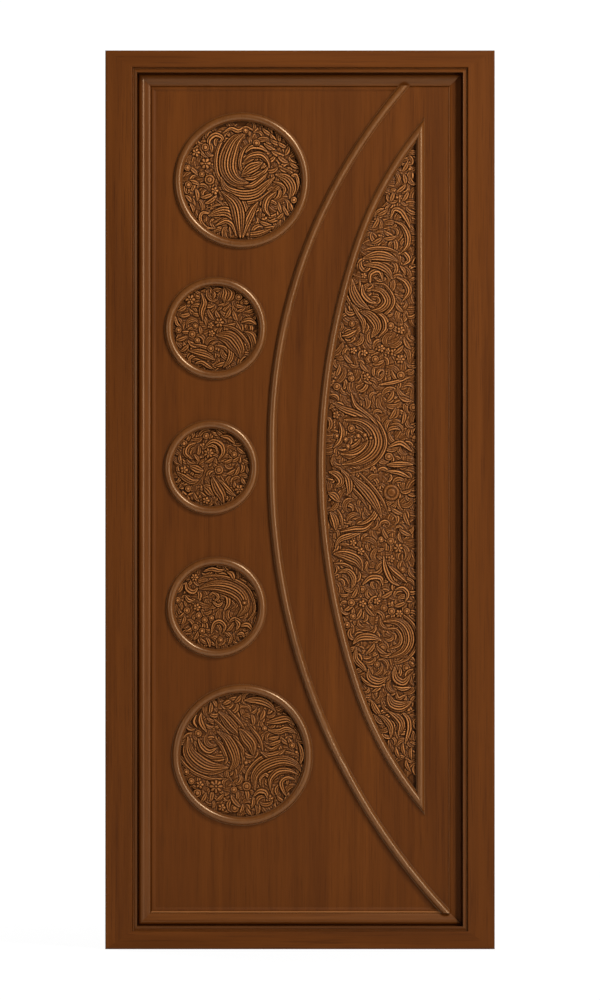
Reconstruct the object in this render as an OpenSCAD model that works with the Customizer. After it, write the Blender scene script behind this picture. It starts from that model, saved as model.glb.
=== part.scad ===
// Carved wooden door in its frame.
// +Z is up, the carved face looks along -Y, and the origin is on the floor under the middle of the frame.

/* [Frame] */
// Overall width of the frame
frame_w = 910; // [860:1:1000]
// Overall height of the frame
frame_h = 2100; // [2000:1:2300]
// Depth of the frame from front to back
frame_d = 75; // [72:1:110]
// Width of the face of each jamb
jamb_face = 63.5; // [50:0.5:90]
// Height of the face of the head
head_face = 40.5; // [34:0.5:80]
// Height of the face of the sill
sill_face = 42.5; // [34:0.5:80]
// Width of the sunk edge between face and opening
edge_w = 10.5; // [6:0.5:18]
// Drop of the sunk edge below the face
edge_drop = 8; // [4:0.5:14]
// Radius of the rounded arrises of the frame
arris_r = 3; // [1:0.5:5]
// Diameter of the dowels across the mitres
dowel_d = 10; // [6:1:14]
// Length of the dowels
dowel_len = 44; // [30:1:50]
// Distance of the dowels from the outer edge of head and sill
dowel_inset = 19; // [15:0.5:24]
// Distance between the two dowels of a corner
dowel_pitch = 36; // [20:1:44]
// Diameter of the wall fixing holes
fixing_d = 8; // [5:0.5:12]
// Height of the lower wall fixing holes above the floor
fixing_low = 600; // [400:1:800]
// Distance between the wall fixing holes of a jamb
fixing_pitch = 900; // [700:1:1100]

/* [Leaf] */
// Thickness of the leaf
leaf_t = 40; // [36:1:50]
// Gap between the edge of the leaf and the frame
leaf_gap = 3; // [2:0.1:5]
// How far the stop of the frame covers the edge of the leaf
stop_lap = 10; // [6:0.5:16]
// Gap between the stop and the face of the leaf
stop_gap = 1; // [0.5:0.1:3]
// Drop of the medallion field below the rest of the face
field_drop = 2.5; // [1:0.1:5]
// Width of the sloping edge of the medallion field
field_slope = 5; // [2:0.5:8]
// Depth of the pockets that hold the carvings
pocket_d = 12; // [10:0.5:16]

/* [Mouldings] */
// Width of the rings and beads
bead_w = 21; // [14:0.5:26]
// Thickness of the foot of the rings and beads
bead_foot = 2; // [1:0.5:4]
// Width of the shoulder on each side of the round of a bead
bead_shoulder = 1.5; // [0.5:0.25:3]
// Distance of the border moulding from the opening
border_inset = 3; // [2.5:0.5:6]
// Width of the border moulding
border_w = 27; // [20:0.5:34]
// Height of the nose of the border moulding
border_h = 10; // [6:0.5:13]
// Height of the flat border strip on the lock side
strip_h = 4; // [2:0.5:6]
// Width of the groove at the foot of the border
quirk_w = 4; // [2:0.5:6]
// Depth of the groove at the foot of the border
quirk_d = 2; // [1:0.5:4]
// Width of the flat fillet beside the groove
fillet_w = 4; // [2:0.5:8]
// Width of the ledge between the long curved bead and the medallion field
arc_ledge = 1; // [0.5:0.5:4]

/* [Long curved bead] */
// Distance of its crown from the edge of the medallion field
arc_inset = 272.7; // [262:0.1:285]
// Distance from the top of the field to the upper end of its straight stretch
arc_drop = 816.3; // [760:0.1:860]
// Length of its straight stretch
arc_straight = 70; // [40:1:120]
// Sideways run of its upper part, from the crown to the border
arc_top_run = 309.3; // [280:0.1:340]
// Sideways run of its lower part, from the crown to the border
arc_bottom_run = 408.8; // [370:0.1:420]

/* [Half-moon panel] */
// Distance of the middle of the straight bead from the inner edge of the border strip
moon_inset = 69; // [40:0.5:90]
// Width of the panel between the middles of its beads
moon_w = 232; // [215:0.5:250]
// Distance from the crown of the long curved bead to the crown of the half-moon
moon_gap = 115.3; // [100:0.1:130]
// Distance from the top of the field to the upper tip
moon_top_gap = 89; // [70:1:120]
// Distance from the bottom of the field to the lower tip
moon_bottom_gap = 245; // [200:1:290]
// Angle from the crown to where the curve tightens
moon_turn = 18.5; // [16:0.5:20]
// Radius of the tightened ends as a share of the radius of the middle part
moon_tighten = 0.5284; // [0.5:0.0001:0.6]

/* [Medallions] */
// Distance of the middle of the top medallion from the top of the field
top_ring_drop = 208.6; // [195:0.1:220]
// Distance from the middle of the top medallion to the middle of the upper one
upper_pitch = 346; // [330:0.1:370]
// Distance from the middle of the upper medallion to the middle one
middle_pitch = 325.7; // [300:0.1:350]
// Distance from the middle medallion to the middle of the lower one
lower_pitch = 327.1; // [300:0.1:350]
// Distance from the middle of the lower medallion to the middle of the bottom one
bottom_pitch = 345.8; // [330:0.1:370]
// Distance from the middle of the bottom medallion to the bottom of the field
bottom_room = 356.8; // [300:0.1:400]
// Distance of the top ring from the left edge of the field
top_margin = 42.15; // [30:0.05:60]
// Distance of the upper ring from the left edge of the field
upper_margin = 20.05; // [12:0.05:30]
// Distance of the middle ring from the left edge of the field
middle_margin = 18.05; // [12:0.05:30]
// Distance of the lower ring from the left edge of the field
lower_margin = 23.75; // [12:0.05:30]
// Distance of the bottom ring from the left edge of the field
bottom_margin = 37.1; // [30:0.05:60]
// Gap between the top ring and the long curved bead
top_gap = 32.16; // [25:0.05:60]
// Gap between the upper ring and the long curved bead
upper_gap = 25.13; // [15:0.05:40]
// Gap between the middle ring and the long curved bead
middle_gap = 20.45; // [12:0.05:30]
// Gap between the lower ring and the long curved bead
lower_gap = 32.32; // [15:0.05:50]
// Gap between the bottom ring and the long curved bead
bottom_gap = 27.61; // [25:0.05:60]

/* [Carving] */
// Thickness of the ground under the carving
ground_t = 5; // [3:0.5:7]
// Height of the highest carved forms above the ground
relief_h = 9; // [5:0.5:10]
// Clearance round the carvings in their pockets
carving_gap = 0.3; // [0.2:0.1:1]

/* [Hinges] */
// Height of a hinge
hinge_h = 100; // [80:1:125]
// Width of a hinge plate let into the wood
hinge_plate_w = 30; // [24:1:33]
// Thickness of a hinge plate
hinge_plate_t = 2.5; // [2:0.1:3.2]
// Radius of the hinge knuckles
knuckle_r = 6; // [5:0.1:7]
// Radius of the hinge pins
pin_r = 3; // [2.5:0.1:3.4]
// Radial clearance between a pin and its knuckles
pin_gap = 0.05; // [0.02:0.01:0.1]
// Clearance between neighbouring knuckles
knuckle_gap = 0.4; // [0.3:0.1:1]
// Distance from the lower edge of the leaf to the middle of the bottom hinge
hinge_low = 200; // [150:1:300]
// Distance from the upper edge of the leaf to the middle of the top hinge
hinge_high = 180; // [150:1:300]
// Radius of the hinge screws
screw_r = 2; // [1.5:0.1:2.5]
// Length of the hinge screws
screw_len = 25; // [16:1:30]

/* [Hidden] */
$fn = 64;
WOOD = "#6b3a17";
WOOD_LIGHT = "#7d4a22";
BRASS = "#8a7445";
STEEL = "#8d8f92";
FAR = 3000;

// Frame lines, measured from the middle of the door and from the floor
half_w = frame_w / 2;
front_y = -frame_d / 2;
back_y = frame_d / 2;
rebate_w = stop_lap + leaf_gap;
clear_x = half_w - jamb_face - edge_w;
clear_top = frame_h - head_face - edge_w;
clear_bottom = sill_face + edge_w;
leaf_front = back_y - leaf_t;
stop_back = leaf_front - stop_gap;
fixing_y = (stop_back + back_y) / 2;

// Leaf lines
leaf_x = clear_x + stop_lap;
leaf_top = clear_top + stop_lap;
leaf_bottom = clear_bottom - stop_lap;
border_in = border_inset + border_w;
field_in = border_in + quirk_w + fillet_w + field_slope;
field_y = leaf_front + field_drop;
field_left = field_in - clear_x;
field_top = clear_top - field_in;
field_bottom = clear_bottom + field_in;
bead_round = bead_w / 2 - bead_shoulder;

// Room of the ornament, as a share of what its lengths ask for across and up the leaf
field_h = field_top - field_bottom;
panel_w = clear_x - border_in - field_left;
share_x = panel_w / (arc_inset + moon_gap + moon_w + moon_inset);
share_z = field_h / (top_ring_drop + upper_pitch + middle_pitch + lower_pitch + bottom_pitch + bottom_room);

// Long curved bead
arc_x = field_left + arc_inset * share_x;
arc_top_z = field_top - arc_drop * share_z;
arc_bottom_z = arc_top_z - arc_straight * share_z;
function arc_radius(rise, run) = (rise * rise + run * run) / (2 * run);
arc_upper_r = arc_radius(clear_top - border_in - arc_top_z, arc_top_run * share_x);
arc_lower_r = arc_radius(arc_bottom_z - clear_bottom - border_in, arc_bottom_run * share_x);

// Half-moon panel: its two end arcs meet the straight bead at the angle moon_end
moon_right = clear_x - border_in - moon_inset * share_x;
moon_wide = moon_w * share_x;
moon_left = moon_right - moon_wide;
moon_half = (field_h - (moon_top_gap + moon_bottom_gap) * share_z) / 2;
moon_z = field_top - moon_top_gap * share_z - moon_half;
moon_slack = 1 - moon_tighten;
moon_lean = moon_half * (1 - moon_slack * cos(moon_turn)) - moon_wide * moon_slack * sin(moon_turn);
moon_span = norm([moon_wide, moon_half]);
moon_end = 180 - asin(moon_lean / (moon_tighten * moon_span)) - atan2(moon_half, moon_wide);
moon_r = moon_wide / (1 - cos(moon_turn) + moon_tighten * (cos(moon_turn) - cos(moon_end)));
moon_end_r = moon_r * moon_tighten;
moon_centre = moon_left + moon_r;
moon_end_x = moon_centre - (moon_r - moon_end_r) * cos(moon_turn);
moon_end_z = (moon_r - moon_end_r) * sin(moon_turn);

// Medallions from top to bottom: each ring fills the room between its margin and its gap to the long bead
ring_margins = [top_margin, upper_margin, middle_margin, lower_margin, bottom_margin];
ring_gaps = [top_gap, upper_gap, middle_gap, lower_gap, bottom_gap];
pitches = [top_ring_drop, upper_pitch, middle_pitch, lower_pitch, bottom_pitch];
function drop(i) = i < 0 ? 0 : pitches[i] + drop(i - 1);

function ring_fit(left, z, gap) =
    z <= arc_top_z && z >= arc_bottom_z ? (arc_x - bead_w / 2 - gap - left) / 2 :
    let (
        bend = z > arc_top_z ? arc_upper_r : arc_lower_r,
        rise = z > arc_top_z ? z - arc_top_z : arc_bottom_z - z,
        across = arc_x + bend - left,
        reach = bend + bead_w / 2 + gap)
    (across * across + rise * rise - reach * reach) / (2 * (across + reach));

ring_left = [for (m = ring_margins) field_left + m * share_x];
ring_z = [for (i = [0 : 4]) field_top - drop(i) * share_z];
ring_room = [for (i = [0 : 4]) ring_fit(ring_left[i], ring_z[i], ring_gaps[i] * share_x)];
ring_x = ring_left + ring_room;
ring_r = ring_room * min(1, share_z / share_x);

// Hinges
hinge_x = -leaf_x - leaf_gap / 2;
hinge_y = back_y + knuckle_r + 0.5;
hinge_z = [leaf_top - hinge_high, (leaf_top + leaf_bottom) / 2, leaf_bottom + hinge_low];
knuckles = 5;
knuckle_len = (hinge_h - (knuckles - 1) * knuckle_gap) / knuckles;
knuckle_pitch = knuckle_len + knuckle_gap;
knuckle_room = knuckle_r + 0.6;
screw_head_r = 2 * screw_r;
screw_rows = [-0.38, -0.14, 0.14, 0.38];

// Points of an arc in a plane, from angle a to angle b
function arc(centre, r, a, b, steps) =
    [for (i = [0 : steps]) centre + r * [cos(a + (b - a) * i / steps), sin(a + (b - a) * i / steps)]];

// A flat outline in the plane of the door, from depth y0 to depth y1
module upright(y0, y1) {
    translate([0, y1, 0]) rotate([90, 0, 0]) linear_extrude(y1 - y0) children();
}

// Frame

// Section of a frame member, measured inwards from its outer edge
module member_section(face) {
    edge = face + edge_w;
    polygon(concat(
        arc([arris_r, front_y + arris_r], arris_r, 180, 270, 5),
        arc([face - arris_r, front_y + arris_r], arris_r, 270, 360, 5),
        [[face, front_y + edge_drop]],
        arc([edge - arris_r / 2, front_y + edge_drop + arris_r / 2], arris_r / 2, 270, 360, 3),
        [[edge, stop_back], [edge - rebate_w, stop_back], [edge - rebate_w, back_y], [0, back_y]]));
}

// Corner line of the mitres, from the outer corner to the corner of the opening
function mitre_line(face) = [
    [0, 0],
    [jamb_face + edge_w - rebate_w, face + edge_w - rebate_w],
    [jamb_face, face],
    [jamb_face + edge_w, face + edge_w]];

function mitre_at(face, side, top) =
    [for (p = mitre_line(face)) [side * (p[0] - half_w), top ? frame_h - p[1] : p[1]]];

function reversed(list) = [for (i = [len(list) - 1 : -1 : 0]) list[i]];

module jamb_blank() {
    intersection() {
        translate([-half_w, 0, 0]) linear_extrude(frame_h) member_section(jamb_face);
        upright(-FAR, FAR)
            polygon(concat(mitre_at(sill_face, 1, false), reversed(mitre_at(head_face, 1, true))));
    }
}

module rail_blank(face, top) {
    intersection() {
        translate([-half_w, 0, top ? frame_h : 0]) mirror([0, 0, top ? 0 : 1])
            rotate([0, 90, 0]) linear_extrude(frame_w) member_section(face);
        upright(-FAR, FAR) polygon(concat(mitre_at(face, 1, top), reversed(mitre_at(face, -1, top))));
    }
}

module dowels() {
    mid_y = (front_y + edge_drop + back_y) / 2;
    start = half_w - dowel_inset * (jamb_face / head_face) - dowel_len / 2;
    for (side = [-1, 1], z = [dowel_inset, frame_h - dowel_inset], y = [-0.5, 0.5])
        translate([side * start, mid_y + y * dowel_pitch, z])
            rotate([0, side * 90, 0]) cylinder(d = dowel_d, h = dowel_len);
}

module wall_fixings() {
    sink = fixing_d / 2;
    for (z = [fixing_low, fixing_low + fixing_pitch])
        translate([-half_w, fixing_y, z]) rotate([0, 90, 0]) {
            translate([0, 0, -1]) cylinder(d = fixing_d, h = jamb_face + edge_w);
            translate([0, 0, jamb_face + edge_w - rebate_w - sink])
                cylinder(r1 = sink, r2 = 2 * sink, h = sink);
        }
}

module hinge_jamb() {
    color(WOOD) difference() {
        jamb_blank();
        dowels();
        wall_fixings();
        for (z = hinge_z) {
            hinge_mortise(z, -1);
            screw_pilots(z, -1);
        }
    }
}

module latch_jamb() {
    color(WOOD) difference() {
        mirror([1, 0, 0]) jamb_blank();
        dowels();
        mirror([1, 0, 0]) wall_fixings();
    }
}

module frame_head() {
    color(WOOD) difference() {
        rail_blank(head_face, true);
        dowels();
    }
}

module frame_sill() {
    color(WOOD) difference() {
        rail_blank(sill_face, false);
        dowels();
    }
}

module corner_dowels() {
    color(WOOD_LIGHT) dowels();
}

// Leaf

// Strip along one side of the opening between two insets, mitred at both ends
module mitred(side, a, b) {
    x0 = clear_x - a;
    x1 = clear_x - b;
    if (side == "left" || side == "right") {
        s = side == "left" ? -1 : 1;
        upright(-FAR, FAR) polygon([[s * x0, clear_bottom + a], [s * x1, clear_bottom + b],
            [s * x1, clear_top - b], [s * x0, clear_top - a]]);
    } else {
        z0 = side == "top" ? clear_top - a : clear_bottom + a;
        z1 = side == "top" ? clear_top - b : clear_bottom + b;
        upright(-FAR, FAR) polygon([[-x0, z0], [-x1, z1], [x1, z1], [x0, z0]]);
    }
}

// A section given as distance from the opening and height above the face, run along one side
module along(side) {
    if (side == "left" || side == "right")
        mirror([side == "left" ? 0 : 1, 0, 0])
            translate([-clear_x, leaf_front, 0]) linear_extrude(frame_h) children();
    else
        translate([-half_w, leaf_front, side == "top" ? clear_top : clear_bottom])
            mirror([0, 0, side == "top" ? 0 : 1])
                rotate([0, 90, 0]) linear_extrude(frame_w) children();
}

// Nosed border: a round nose, a hollow slope and a thin foot
module nosed_section() {
    nose = border_w * 0.3;
    foot = 1.5;
    polygon(concat(
        [[border_inset, 0], [border_inset, -border_h * 0.45]],
        [for (p = arc([0, 0], 1, 180, 90, 8))
            [border_inset + nose * (1 + p[0]), -border_h * (0.45 + 0.55 * p[1])]],
        [for (i = [1 : 8])
            [border_inset + nose + (border_w - nose) * i / 8,
             -foot - (border_h - foot) * pow(cos(90 * i / 8), 1.6)]],
        [[border_in, 0]]));
}

module strip_section() {
    polygon([[border_inset, 0], [border_inset, -strip_h * 0.7], [border_inset + 2, -strip_h],
        [border_in - 3, -strip_h * 0.6], [border_in, -strip_h * 0.3], [border_in, 0]]);
}

module border(side) {
    intersection() {
        along(side) {
            if (side == "right") strip_section();
            else nosed_section();
        }
        mitred(side, 0, border_in);
    }
}

module border_left() { color(WOOD) border("left"); }
module border_right() { color(WOOD) border("right"); }
module border_top() { color(WOOD) border("top"); }
module border_bottom() { color(WOOD) border("bottom"); }

// Outline of the ground to the left of the long curved bead
function arc_line(out) = concat(
    arc([arc_x + arc_upper_r, arc_top_z], arc_upper_r + out, 135, 180, 24),
    arc([arc_x + arc_lower_r, arc_bottom_z], arc_lower_r + out, 180, 225, 24));

module medallion_field() {
    intersection() {
        union() {
            translate([field_left, leaf_front - 1, field_bottom])
                cube([clear_x - border_in - field_left, field_drop + 1, field_top - field_bottom]);
            for (side = ["left", "top", "bottom"])
                intersection() {
                    along(side) polygon([[field_in - field_slope, 0], [field_in, field_drop],
                                         [field_in + 1, field_drop], [field_in + 1, 0]]);
                    mitred(side, 0, field_in + 1);
                }
        }
        upright(-FAR, FAR)
            polygon(concat(arc_line(bead_w / 2 + arc_ledge), [[-half_w, 0], [-half_w, frame_h]]));
    }
}

module border_quirk() {
    for (side = ["left", "right", "top", "bottom"])
        intersection() {
            along(side)
                polygon([[border_in, 0], [border_in + quirk_w, 0], [border_in + quirk_w / 2, quirk_d]]);
            mitred(side, 0, border_in + quirk_w);
        }
}

// Outline of the half-moon, drawn in or out from the middle of its beads
function moon_outline(out) = let (
        end_x = moon_right + out,
        r = moon_end_r + out,
        last = acos((moon_end_x - end_x) / r))
    concat(
        arc([moon_end_x, moon_z + moon_end_z], r, 180 - last, 180 - moon_turn, 9),
        arc([moon_centre, moon_z], moon_r + out, 180 - moon_turn, 180 + moon_turn, 26),
        arc([moon_end_x, moon_z - moon_end_z], r, 180 + moon_turn, 180 + last, 9));

module leaf_slab() {
    color(WOOD) difference() {
        translate([-leaf_x, leaf_front, leaf_bottom]) cube([2 * leaf_x, leaf_t, leaf_top - leaf_bottom]);
        medallion_field();
        border_quirk();
        for (i = [0 : 4])
            translate([ring_x[i], field_y + pocket_d, ring_z[i]])
                rotate([90, 0, 0]) cylinder(r = ring_r[i] - bead_w, h = FAR);
        upright(leaf_front - 1, leaf_front + pocket_d) polygon(moon_outline(-bead_w / 2));
        for (z = hinge_z) {
            hinge_mortise(z, 1);
            screw_pilots(z, 1);
        }
    }
}

// Section of a bead: a round between two shoulders
module bead_section() {
    translate([-bead_w / 2, 0]) square([bead_w, bead_foot]);
    intersection() {
        translate([0, bead_foot]) circle(bead_round);
        translate([-bead_round, 0]) square([2 * bead_round, bead_foot + bead_round]);
    }
}

// Bead bent round a centre on the leaf, from angle a to angle b
module bent_bead(x, z, r, a, b) {
    translate([x, leaf_front, z]) rotate([90, 0, 0]) rotate([0, 0, a])
        rotate_extrude(angle = b - a, $fn = 720) translate([r, 0]) bead_section();
}

// Lengths of the long curved bead, cut off along the border at its two ends
module arc_length(r, z, a, b) {
    color(WOOD) intersection() {
        bent_bead(arc_x + r, z, r, a, b);
        translate([border_in - clear_x, -FAR / 2, clear_bottom + border_in])
            cube([2 * (clear_x - border_in), FAR, clear_top - clear_bottom - 2 * border_in]);
    }
}

module arc_bead_upper() { arc_length(arc_upper_r, arc_top_z, 130, 180); }
module arc_bead_lower() { arc_length(arc_lower_r, arc_bottom_z, 180, 230); }

module arc_bead_middle() {
    color(WOOD) translate([arc_x, leaf_front, arc_bottom_z])
        linear_extrude(arc_top_z - arc_bottom_z) mirror([0, 1]) bead_section();
}

// Tips of the half-moon: where the inner and the outer edges of its two beads meet
function moon_tip(out) = [moon_right + out, moon_end_z + sqrt(pow(moon_end_r + out, 2)
    - pow(moon_end_x - moon_right - out, 2))];

// The ground on one side of the two mitres at the tips
module moon_side(side) {
    inner = moon_tip(-bead_w / 2);
    outer = moon_tip(bead_w / 2);
    reach = outer + 4 * (outer - inner);
    upright(-FAR, FAR) polygon([
        [inner[0], moon_z + inner[1]], [reach[0], moon_z + reach[1]], [side * FAR, moon_z + reach[1]],
        [side * FAR, moon_z - reach[1]], [reach[0], moon_z - reach[1]], [inner[0], moon_z - inner[1]]]);
}

// End lengths of the curved bead, above and below its middle length
module moon_end_bead(a, b, dz) {
    color(WOOD) intersection() {
        bent_bead(moon_end_x, moon_z + dz, moon_end_r, a, b);
        moon_side(-1);
    }
}

moon_last = acos((moon_end_x - moon_right - bead_w) / (moon_end_r + bead_w));
module moon_bead_upper() { moon_end_bead(180 - moon_last, 180 - moon_turn, moon_end_z); }
module moon_bead_lower() { moon_end_bead(180 + moon_turn, 180 + moon_last, -moon_end_z); }

module moon_bead_middle() {
    color(WOOD) bent_bead(moon_centre, moon_z, moon_r, 180 - moon_turn, 180 + moon_turn);
}

module moon_straight_bead() {
    reach = moon_tip(bead_w / 2)[1] + 2 * bead_w;
    color(WOOD) intersection() {
        translate([moon_right, leaf_front, moon_z - reach]) linear_extrude(2 * reach)
            mirror([0, 1]) bead_section();
        moon_side(1);
    }
}

module ring(i) {
    color(WOOD) translate([ring_x[i], field_y, ring_z[i]]) rotate([90, 0, 0])
        rotate_extrude() translate([ring_r[i] - bead_w / 2, 0]) bead_section();
}

module top_ring() { ring(0); }
module upper_ring() { ring(1); }
module middle_ring() { ring(2); }
module lower_ring() { ring(3); }
module bottom_ring() { ring(4); }

// Hinges

// Side -1 is the jamb plate and side 1 the leaf plate
module hinge_mortise(z, side) {
    translate([hinge_x + side * (leaf_gap / 2 + hinge_plate_t / 2), back_y - hinge_plate_w / 2, z])
        cube([hinge_plate_t + 0.02, hinge_plate_w, hinge_h], center = true);
}

// Places of the screws of one plate, with the screw pointing along +Z into the wood
module at_screws(z, side) {
    for (i = [0 : len(screw_rows) - 1])
        translate([hinge_x + side * leaf_gap / 2,
                back_y - hinge_plate_w * (i % 2 == 0 ? 0.7 : 0.4), z + hinge_h * screw_rows[i]])
            rotate([0, side * 90, 0]) children();
}

module screw_pilots(z, side) {
    at_screws(z, side) cylinder(r = screw_r + 0.1, h = screw_len + 1);
}

module screw() {
    cylinder(r1 = screw_head_r, r2 = screw_r, h = hinge_plate_t);
    translate([0, 0, hinge_plate_t]) cylinder(r = screw_r, h = screw_len - hinge_plate_t);
}

// Knuckles of one plate: the jamb plate has the odd ones, the leaf plate the even ones
module hinge_plate(z, side) {
    first = side < 0 ? 0 : 1;
    edge_y = hinge_y - knuckle_room;
    plate_x = hinge_x + side * leaf_gap / 2 - (side < 0 ? hinge_plate_t : 0);
    color(BRASS) difference() {
        union() {
            translate([plate_x, back_y - hinge_plate_w, z - hinge_h / 2])
                cube([hinge_plate_t, edge_y - back_y + hinge_plate_w, hinge_h]);
            for (i = [first : 2 : knuckles - 1])
                translate([0, 0, z - hinge_h / 2 + i * knuckle_pitch]) {
                    translate([plate_x, edge_y, 0]) cube([hinge_plate_t, knuckle_room, knuckle_len]);
                    translate([hinge_x, hinge_y, 0]) cylinder(r = knuckle_r, h = knuckle_len);
                }
        }
        translate([hinge_x, hinge_y, z - hinge_h]) cylinder(r = pin_r + pin_gap, h = 2 * hinge_h);
        at_screws(z, side) {
            cylinder(r1 = screw_head_r + 0.1, r2 = screw_r + 0.1, h = hinge_plate_t);
            cylinder(r = screw_r + 0.1, h = hinge_plate_t + 1);
        }
    }
}

module hinge_pin(z) {
    tip_r = knuckle_r - 0.6;
    tip_h = 4;
    color(BRASS) translate([hinge_x, hinge_y, z]) {
        translate([0, 0, -hinge_h / 2]) cylinder(r = pin_r, h = hinge_h);
        for (s = [-1, 1]) mirror([0, 0, s < 0 ? 1 : 0])
            translate([0, 0, hinge_h / 2]) rotate_extrude()
                polygon(concat([[0, 0], [tip_r, 0]],
                               arc([tip_r - tip_h / 2, tip_h / 2], tip_h / 2, 0, 90, 6),
                               [[0, tip_h]]));
    }
}

module top_hinge_jamb_plate() { hinge_plate(hinge_z[0], -1); }
module middle_hinge_jamb_plate() { hinge_plate(hinge_z[1], -1); }
module bottom_hinge_jamb_plate() { hinge_plate(hinge_z[2], -1); }
module top_hinge_leaf_plate() { hinge_plate(hinge_z[0], 1); }
module middle_hinge_leaf_plate() { hinge_plate(hinge_z[1], 1); }
module bottom_hinge_leaf_plate() { hinge_plate(hinge_z[2], 1); }
module top_hinge_pin() { hinge_pin(hinge_z[0]); }
module middle_hinge_pin() { hinge_pin(hinge_z[1]); }
module bottom_hinge_pin() { hinge_pin(hinge_z[2]); }

module jamb_screws() {
    color(STEEL) for (z = hinge_z) at_screws(z, -1) screw();
}

module leaf_screws() {
    color(STEEL) for (z = hinge_z) at_screws(z, 1) screw();
}

// Carving

// Depth to which carved forms reach into the ground
root = 0.6;

// Point on a smooth curve through the points of a path, at t from 0 to 1
function on_path(path, t) = let (
        spans = len(path) - 1,
        i = min(floor(t * spans), spans - 1),
        f = t * spans - i,
        a = path[max(i - 1, 0)],
        b = path[i],
        c = path[i + 1],
        d = path[min(i + 2, spans)])
    b + f * ((c - a) + f * ((2 * a - 5 * b + 4 * c - d) + f * (3 * b - a - 3 * c + d))) / 2;

function heading(path, t) = let (v = on_path(path, min(t + 0.02, 1)) - on_path(path, max(t - 0.02, 0)))
    v / norm(v);

// Points across a plume at t: its ridges and furrows, then its two lower edges
function plume_ring(path, wide, strands, t) = let (
        p = on_path(path, t),
        h = heading(path, t),
        across = [-h[1], h[0]] * wide * (0.2 + 0.3 * sin(180 * t)),
        z = relief_h * (0.5 + 0.5 * sin(180 * t)))
    concat(
        [for (k = [0 : 2 * strands]) let (s = k / strands - 1)
            concat(p + s * across, k == 0 || k == 2 * strands ? 0 : k % 2 == 1 ? z : z * 0.5)],
        [concat(p + across, -root), concat(p - across, -root)]);

// A plume of parallel strands that follows a path and narrows at both ends
module plume(path, wide, strands) {
    steps = len(path) - 1;
    size = 2 * strands + 3;
    points = [for (j = [0 : steps]) each plume_ring(path, wide, strands, j / steps)];
    sides = [for (j = [0 : steps - 1], k = [0 : size - 1]) let (
            a = j * size + k,
            b = j * size + (k + 1) % size)
        each [[a, b, b + size], [a, b + size, a + size]]];
    polyhedron(points, concat(sides,
        [[for (k = [size - 1 : -1 : 0]) k], [for (k = [0 : size - 1]) steps * size + k]]));
}

// A pointed leaf with a rib along its middle
module sprig(x, y, angle, length, width) {
    translate([x, y, -root]) rotate(angle) hull() {
        linear_extrude(root)
            polygon([[0, 0], [0.4 * length, width / 2], [length, 0], [0.4 * length, -width / 2]]);
        linear_extrude(root + 0.75 * relief_h) polygon([[0.15 * length, 0], [0.45 * length, width / 10],
            [0.8 * length, 0]]);
    }
}

module bud(x, y, r) {
    translate([x, y, -root]) hull() {
        cylinder(r = r, h = root, $fn = 6);
        cylinder(r = 0.55 * r, h = root + 0.8 * relief_h, $fn = 6);
    }
}

// Rows are [path, width, strands], [x, y, angle, length, width] and [x, y, radius]
module relief(k, plumes, sprigs, buds) {
    for (p = plumes) plume(p[0] * k, p[1] * k, p[2]);
    for (s = sprigs) sprig(s[0] * k, s[1] * k, s[2], s[3] * k, s[4] * k);
    for (b = buds) bud(b[0] * k, b[1] * k, b[2] * k);
}

// A carved disc in its pocket; its pattern is drawn for the radius drawn_r
module carved_disc(i, drawn_r, plumes, sprigs, buds) {
    r = ring_r[i] - bead_w - carving_gap;
    color(WOOD_LIGHT) translate([ring_x[i], field_y + pocket_d - ground_t, ring_z[i]]) rotate([90, 0, 0])
        intersection() {
            union() {
                translate([0, 0, -ground_t]) cylinder(r = r, h = ground_t, $fn = 36);
                relief(r / drawn_r, plumes, sprigs, buds);
            }
            translate([0, 0, -ground_t]) cylinder(r = r, h = ground_t + relief_h + 1, $fn = 36);
        }
}

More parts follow.
